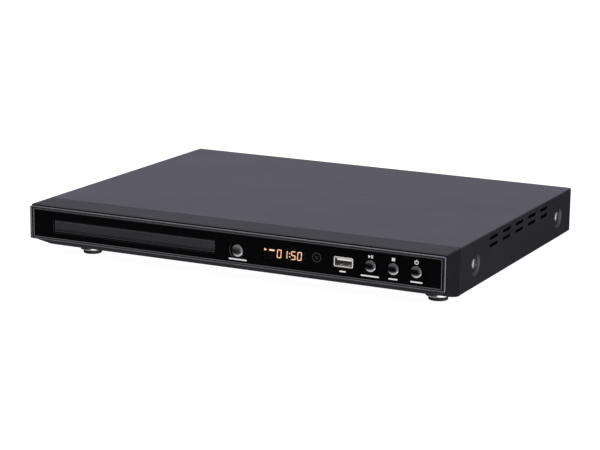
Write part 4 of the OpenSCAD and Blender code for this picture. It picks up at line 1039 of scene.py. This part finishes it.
# ---------------------------------------------------------------- screws and feet
def screw_shape(head_r, head_h, r, l):
    """A pan-head screw along +Z with a cross recess, its seat at 0."""
    prof = [(0, -l), (r * 0.6, -l)]
    pitch, y = 0.62, -l + 0.6
    while y < -pitch:
        prof += [(r * 0.82, y), (r, y + pitch * 0.5)]
        y += pitch
    prof += [(r * 0.82, -0.15), (r * 0.82, 0), (head_r - 0.12, 0), (head_r, 0.12)]
    n = 9
    for k in range(1, n + 1):
        t = math.radians(90 * k / n)
        prof.append((head_r * math.cos(t) if k < n else 0, 0.12 + (head_h - 0.12) * math.sin(t)))
    s = lathe(prof, n=40)
    cuts = []
    for a in (0, 90):
        w, d = head_r * 0.6, head_h * 0.35
        c = Shape()
        lo = c.pts([(-w * 0.6, -0.22, d), (w * 0.6, -0.22, d), (w * 0.6, 0.22, d), (-w * 0.6, 0.22, d)])
        hi = c.pts([(-w, -0.38, head_h + 1), (w, -0.38, head_h + 1), (w, 0.38, head_h + 1), (-w, 0.38, head_h + 1)])
        c.strip(lo, hi)
        c.face(lo[::-1])
        c.face(hi)
        ca, sa = math.cos(math.radians(a)), math.sin(math.radians(a))
        cuts.append(c.moved(lambda x, y, z: (x * ca - y * sa, x * sa + y * ca, z)))
    return s, cuts


def placed(shape_and_cuts, fn):
    s, cuts = shape_and_cuts
    return s.moved(fn), [c.moved(fn) for c in cuts]


def add_screws(name, items, mat, node):
    bm = bmesh.new()
    for s, cuts in items:
        me = carve(s, cuts)
        bm.from_mesh(me)
        bpy.data.meshes.remove(me)
    me = bpy.data.meshes.new(name)
    bm.to_mesh(me)
    bm.free()
    for p in me.polygons:
        p.material_index = 0
    return add(name, me, "chassis", mat, node, sharp=35)


def turned(a):
    ca, sa = math.cos(math.radians(a)), math.sin(math.radians(a))
    return lambda x, y, z: (x * ca - y * sa, x * sa + y * ca, z)


items = []
side_screw = screw_shape(3.7, 1.35, 1.42, 4.6)
for m, y, a in ((1, SCREW_Y[0], 28), (1, SCREW_Y[1], 61), (-1, SCREW_Y[0], 12), (-1, SCREW_Y[1], 47)):
    t = turned(a)
    items.append(placed(side_screw, lambda x, yy, z: (lambda p: (m * (HX - 1.4 + p[2]), y + p[1] * m, SCREW_Z + p[0]))(t(x, yy, z))))
back_screw = screw_shape(2.8, 1.5, 1.42, 4.6)
for xc, a in ((-130, 15), (0, 70), (130, 38)):
    t = turned(a)
    items.append(placed(back_screw, lambda x, yy, z: (lambda p: (xc - p[0], DEEP + p[2], TOP - 3 + p[1]))(t(x, yy, z))))
add_screws("case_screw_heads", items, M["screw"], "case_screws")
items = []
foot_screw = screw_shape(3.2, 1.4, 1.5, 4.4)
for (fx, fy), a in zip(FEET, (20, 55, 80, 35)):
    t = turned(a)
    items.append(placed(foot_screw, lambda x, yy, z: (lambda p: (fx + p[0], fy - p[1], 2 - p[2]))(t(x, yy, z))))
add_screws("foot_screw_heads", items, M["screw"], "foot_screws")

rings_, pads_ = Shape(), Shape()
for fx, fy in FEET:
    rings_.join(lathe([(2, 4.5), (8.8, 4.5)] + arc(8.8 - 0.55, 3.45, 0.55, 0, -90, 6)[0:0] + [(8.8, 3.75), (8.78, 3.5), (8.66, 3.2), (8.45, 3.0), (8.2, 2.92),
                       (7.2, 2.9), (6.95, 2.93), (6.78, 3.05), (6.75, 3.2), (6.75, 3.5), (2, 3.5)], (fx, fy, 0), "z", 72))
    prof = [(1.7, 2.0), (3.45, 2.0), (3.6, 1.85), (3.6, 0.2), (3.8, 0.02), (4.3, 0.0), (4.45, 0.16), (4.6, 0.0), (5.2, 0.0), (5.35, 0.16), (5.5, 0.0)]
    prof += [(5.95, 0.0)] + arc(6.05, 0.65, 0.65, -82, 0, 6)[1:] + [(6.7, 3.45), (1.7, 3.45)]
    pads_.join(lathe(prof, (fx, fy, 0), "z", 72))
add("foot_ring_set", rings_, "chassis", M["foot"], "foot_rings", sharp=45)
add("foot_pad_set", pads_, "chassis", M["rubber"], "foot_pads", sharp=40)


# ---------------------------------------------------------------- finishes of the CAD pieces that stay
FINISH = {
    "bottom_pan": "zinc", "rear_panel": "rear", "front_board": "board", "tact_switches": "chip", "led_display": "chip", "ir_receiver": "chip",
    "mains_inlet": "socket", "av_jacks": "socket", "av_barrels": "shell", "hdmi_socket": "shell", "scart_socket": "socket", "main_board": "board",
    "main_chips": "chip", "capacitors": "cap", "board_connectors": "ivory", "power_board": "board_tan", "transformer": "tape", "heat_sink": "alu",
    "board_standoffs": "zinc", "inner_screws": "screw", "ribbon_cables": "ribbon", "power_leads": "lead", "loader_frame": "loader",
    "grommets": "rubber", "clamp_bridge": "zinc", "clamp_puck": "nylon", "puck_magnet": "magnet", "disc_tray": "tray", "loading_motor": "motor",
    "motor_pulley": "nylon", "drive_belt": "rubber", "pulley_gear": "nylon", "tray_gear": "nylon", "cam_slider": "nylon",
    "traverse_frame": "loader", "guide_rods": "rod", "spindle_motor": "motor", "turntable": "table", "turntable_mat": "rubber",
    "sled_motor": "motor", "lead_screw": "brass", "pickup_body": "cast", "pickup_lens": "lens",
}
for node, key in FINISH.items():
    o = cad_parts[node]
    if not o.material_slots:
        o.data.materials.append(M[key])
    for sl in o.material_slots:
        sl.material = M[key]

# ---------------------------------------------------------------- floor, light, camera
floor_mesh = bpy.data.meshes.new("floor")
fm = bmesh.new()
bmesh.ops.create_grid(fm, x_segments=8, y_segments=8, size=60)
fm.to_mesh(floor_mesh)
fm.free()
floor = bpy.data.objects.new("floor", floor_mesh)
bpy.context.scene.collection.objects.link(floor)
fg = Graph("floor_pale")
fg.bsdf.inputs["Base Color"].default_value = (0.3, 0.3, 0.3, 1)
fg.bsdf.inputs["Roughness"].default_value = 0.9
fg.bsdf.inputs["Specular IOR Level"].default_value = 0.0
fg.bsdf.inputs["Emission Color"].default_value = (1, 1, 1, 1)
fg.bsdf.inputs["Emission Strength"].default_value = 0.94
floor_mesh.materials.append(fg.mat)
floor.visible_glossy = False
floor.visible_diffuse = False

world = bpy.data.worlds.new("studio")
bpy.context.scene.world = world
world.use_nodes = True
nt = world.node_tree
nt.nodes.clear()


def wnode(kind, **kw):
    n = nt.nodes.new(kind)
    for k, v in kw.items():
        setattr(n, k, v)
    return n


def wramp(stops, tint=(1, 1, 1.03)):
    """A grey value for each height from -1 to 1."""
    mr = wnode("ShaderNodeMapRange")
    mr.inputs["From Min"].default_value, mr.inputs["From Max"].default_value = -1, 1
    nt.links.new(sep.outputs["Z"], mr.inputs["Value"])
    ramp = wnode("ShaderNodeValToRGB")
    nt.links.new(mr.outputs["Result"], ramp.inputs["Fac"])
    el = ramp.color_ramp.elements
    while len(el) > 1:
        el.remove(el[-1])
    for i, (z, v) in enumerate(stops):
        e = el[0] if i == 0 else el.new((z + 1) / 2)
        e.position, e.color = (z + 1) / 2, (v * tint[0], v * tint[1], v * tint[2], 1)
    return ramp.outputs["Color"]


wtc = wnode("ShaderNodeTexCoord")
sep = wnode("ShaderNodeSeparateXYZ")
nt.links.new(wtc.outputs["Generated"], sep.inputs[0])
# what shiny surfaces mirror: a bright room above and behind, a dark card low in front, white below and to the right
front = wramp([(-1.0, 0.62), (-0.72, 0.5), (-0.52, 0.15), (-0.36, 0.03), (-0.1, 0.012), (0.0, 0.02), (0.10, 0.6), (0.35, 1.1), (1.0, 1.2)])
back = wramp([(-1.0, 0.04), (-0.1, 0.02), (0.05, 0.27), (0.25, 0.42), (0.45, 0.8), (0.7, 0.65), (1.0, 0.5)], (1, 0.965, 1.19))
right = wramp([(-1.0, 1.6), (-0.70, 2.0), (-0.2, 2.4), (0.1, 2.0), (1.0, 1.2)])
behind = wnode("ShaderNodeMapRange", interpolation_type="SMOOTHSTEP")
for k, v in (("From Min", 0.25), ("From Max", 0.7), ("To Min", 0.0), ("To Max", 1.0)):
    behind.inputs[k].default_value = v
nt.links.new(sep.outputs["Y"], behind.inputs["Value"])
side = wnode("ShaderNodeMapRange", interpolation_type="SMOOTHSTEP")
for k, v in (("From Min", 0.45), ("From Max", 0.85), ("To Min", 0.0), ("To Max", 1.0)):
    side.inputs[k].default_value = v
turn = wnode("ShaderNodeMath", operation="MULTIPLY_ADD")
nt.links.new(sep.outputs["Y"], turn.inputs[0])
turn.inputs[1].default_value = -0.4
nt.links.new(sep.outputs["X"], turn.inputs[2])
nt.links.new(turn.outputs[0], side.inputs["Value"])
mirror = wnode("ShaderNodeMix", data_type="RGBA")
around = wnode("ShaderNodeMix", data_type="RGBA")
nt.links.new(behind.outputs["Result"], around.inputs[0])
nt.links.new(front, around.inputs[6])
nt.links.new(back, around.inputs[7])
nt.links.new(side.outputs["Result"], mirror.inputs[0])
nt.links.new(around.outputs[2], mirror.inputs[6])
nt.links.new(right, mirror.inputs[7])
soft = wramp([(-1.0, 0.14), (-0.2, 0.16), (0.2, 0.5), (1.0, 0.55)])
lp = wnode("ShaderNodeLightPath")
shine = wnode("ShaderNodeMix", data_type="RGBA")
nt.links.new(lp.outputs["Is Glossy Ray"], shine.inputs[0])
nt.links.new(soft, shine.inputs[6])
nt.links.new(mirror.outputs[2], shine.inputs[7])
seen = wnode("ShaderNodeMix", data_type="RGBA")
nt.links.new(lp.outputs["Is Camera Ray"], seen.inputs[0])
nt.links.new(shine.outputs[2], seen.inputs[6])
seen.inputs[7].default_value = (1, 1, 1, 1)
bg = wnode("ShaderNodeBackground")
nt.links.new(seen.outputs[2], bg.inputs["Color"])
wo = wnode("ShaderNodeOutputWorld")
nt.links.new(bg.outputs[0], wo.inputs["Surface"])


def area(name, where, target, size, power, color=(1, 1, 1), glossy=True):
    d = bpy.data.lights.new(name, "AREA")
    d.shape = "RECTANGLE"
    d.size, d.size_y = size
    d.energy = power
    d.color = color
    o = bpy.data.objects.new(name, d)
    o.location = where
    o.rotation_mode = "QUATERNION"
    o.rotation_quaternion = (Vector(target) - Vector(where)).to_track_quat("-Z", "Y")
    o.visible_glossy = glossy
    bpy.context.scene.collection.objects.link(o)
    return o


area("overhead", (0.1, 0.1, 1.9), (0, 0, 0), (1.8, 1.8), 17)
area("front_fill", (-1.2, -2.2, 1.2), (0, 0, 0.02), (1.4, 1.0), 12, glossy=False)

# the photograph's view
cam_data = bpy.data.cameras.new("view")
cam = bpy.data.objects.new("view", cam_data)
bpy.context.scene.collection.objects.link(cam)
yaw, pitch, roll = math.radians(26.04472), math.radians(12.74034), math.radians(0.78659)
fw = Vector((-math.sin(yaw) * math.cos(pitch), math.cos(yaw) * math.cos(pitch), -math.sin(pitch)))
rt = Vector((math.cos(yaw), math.sin(yaw), 0))
up = rt.cross(fw)
r2 = rt * math.cos(roll) + up * math.sin(roll)
u2 = -rt * math.sin(roll) + up * math.cos(roll)
cam.matrix_world = Matrix(((r2.x, u2.x, -fw.x, 0.630753), (r2.y, u2.y, -fw.y, -1.306721), (r2.z, u2.z, -fw.z, 0.342678), (0, 0, 0, 1)))
cam_data.sensor_width = 36.0
cam_data.lens = 2016.474 / 600 * 36.0
cam_data.clip_start, cam_data.clip_end = 0.01, 200
bpy.context.scene.camera = cam
bpy.context.scene.view_settings.view_transform = "Standard"
bpy.context.scene.view_settings.look = "None"
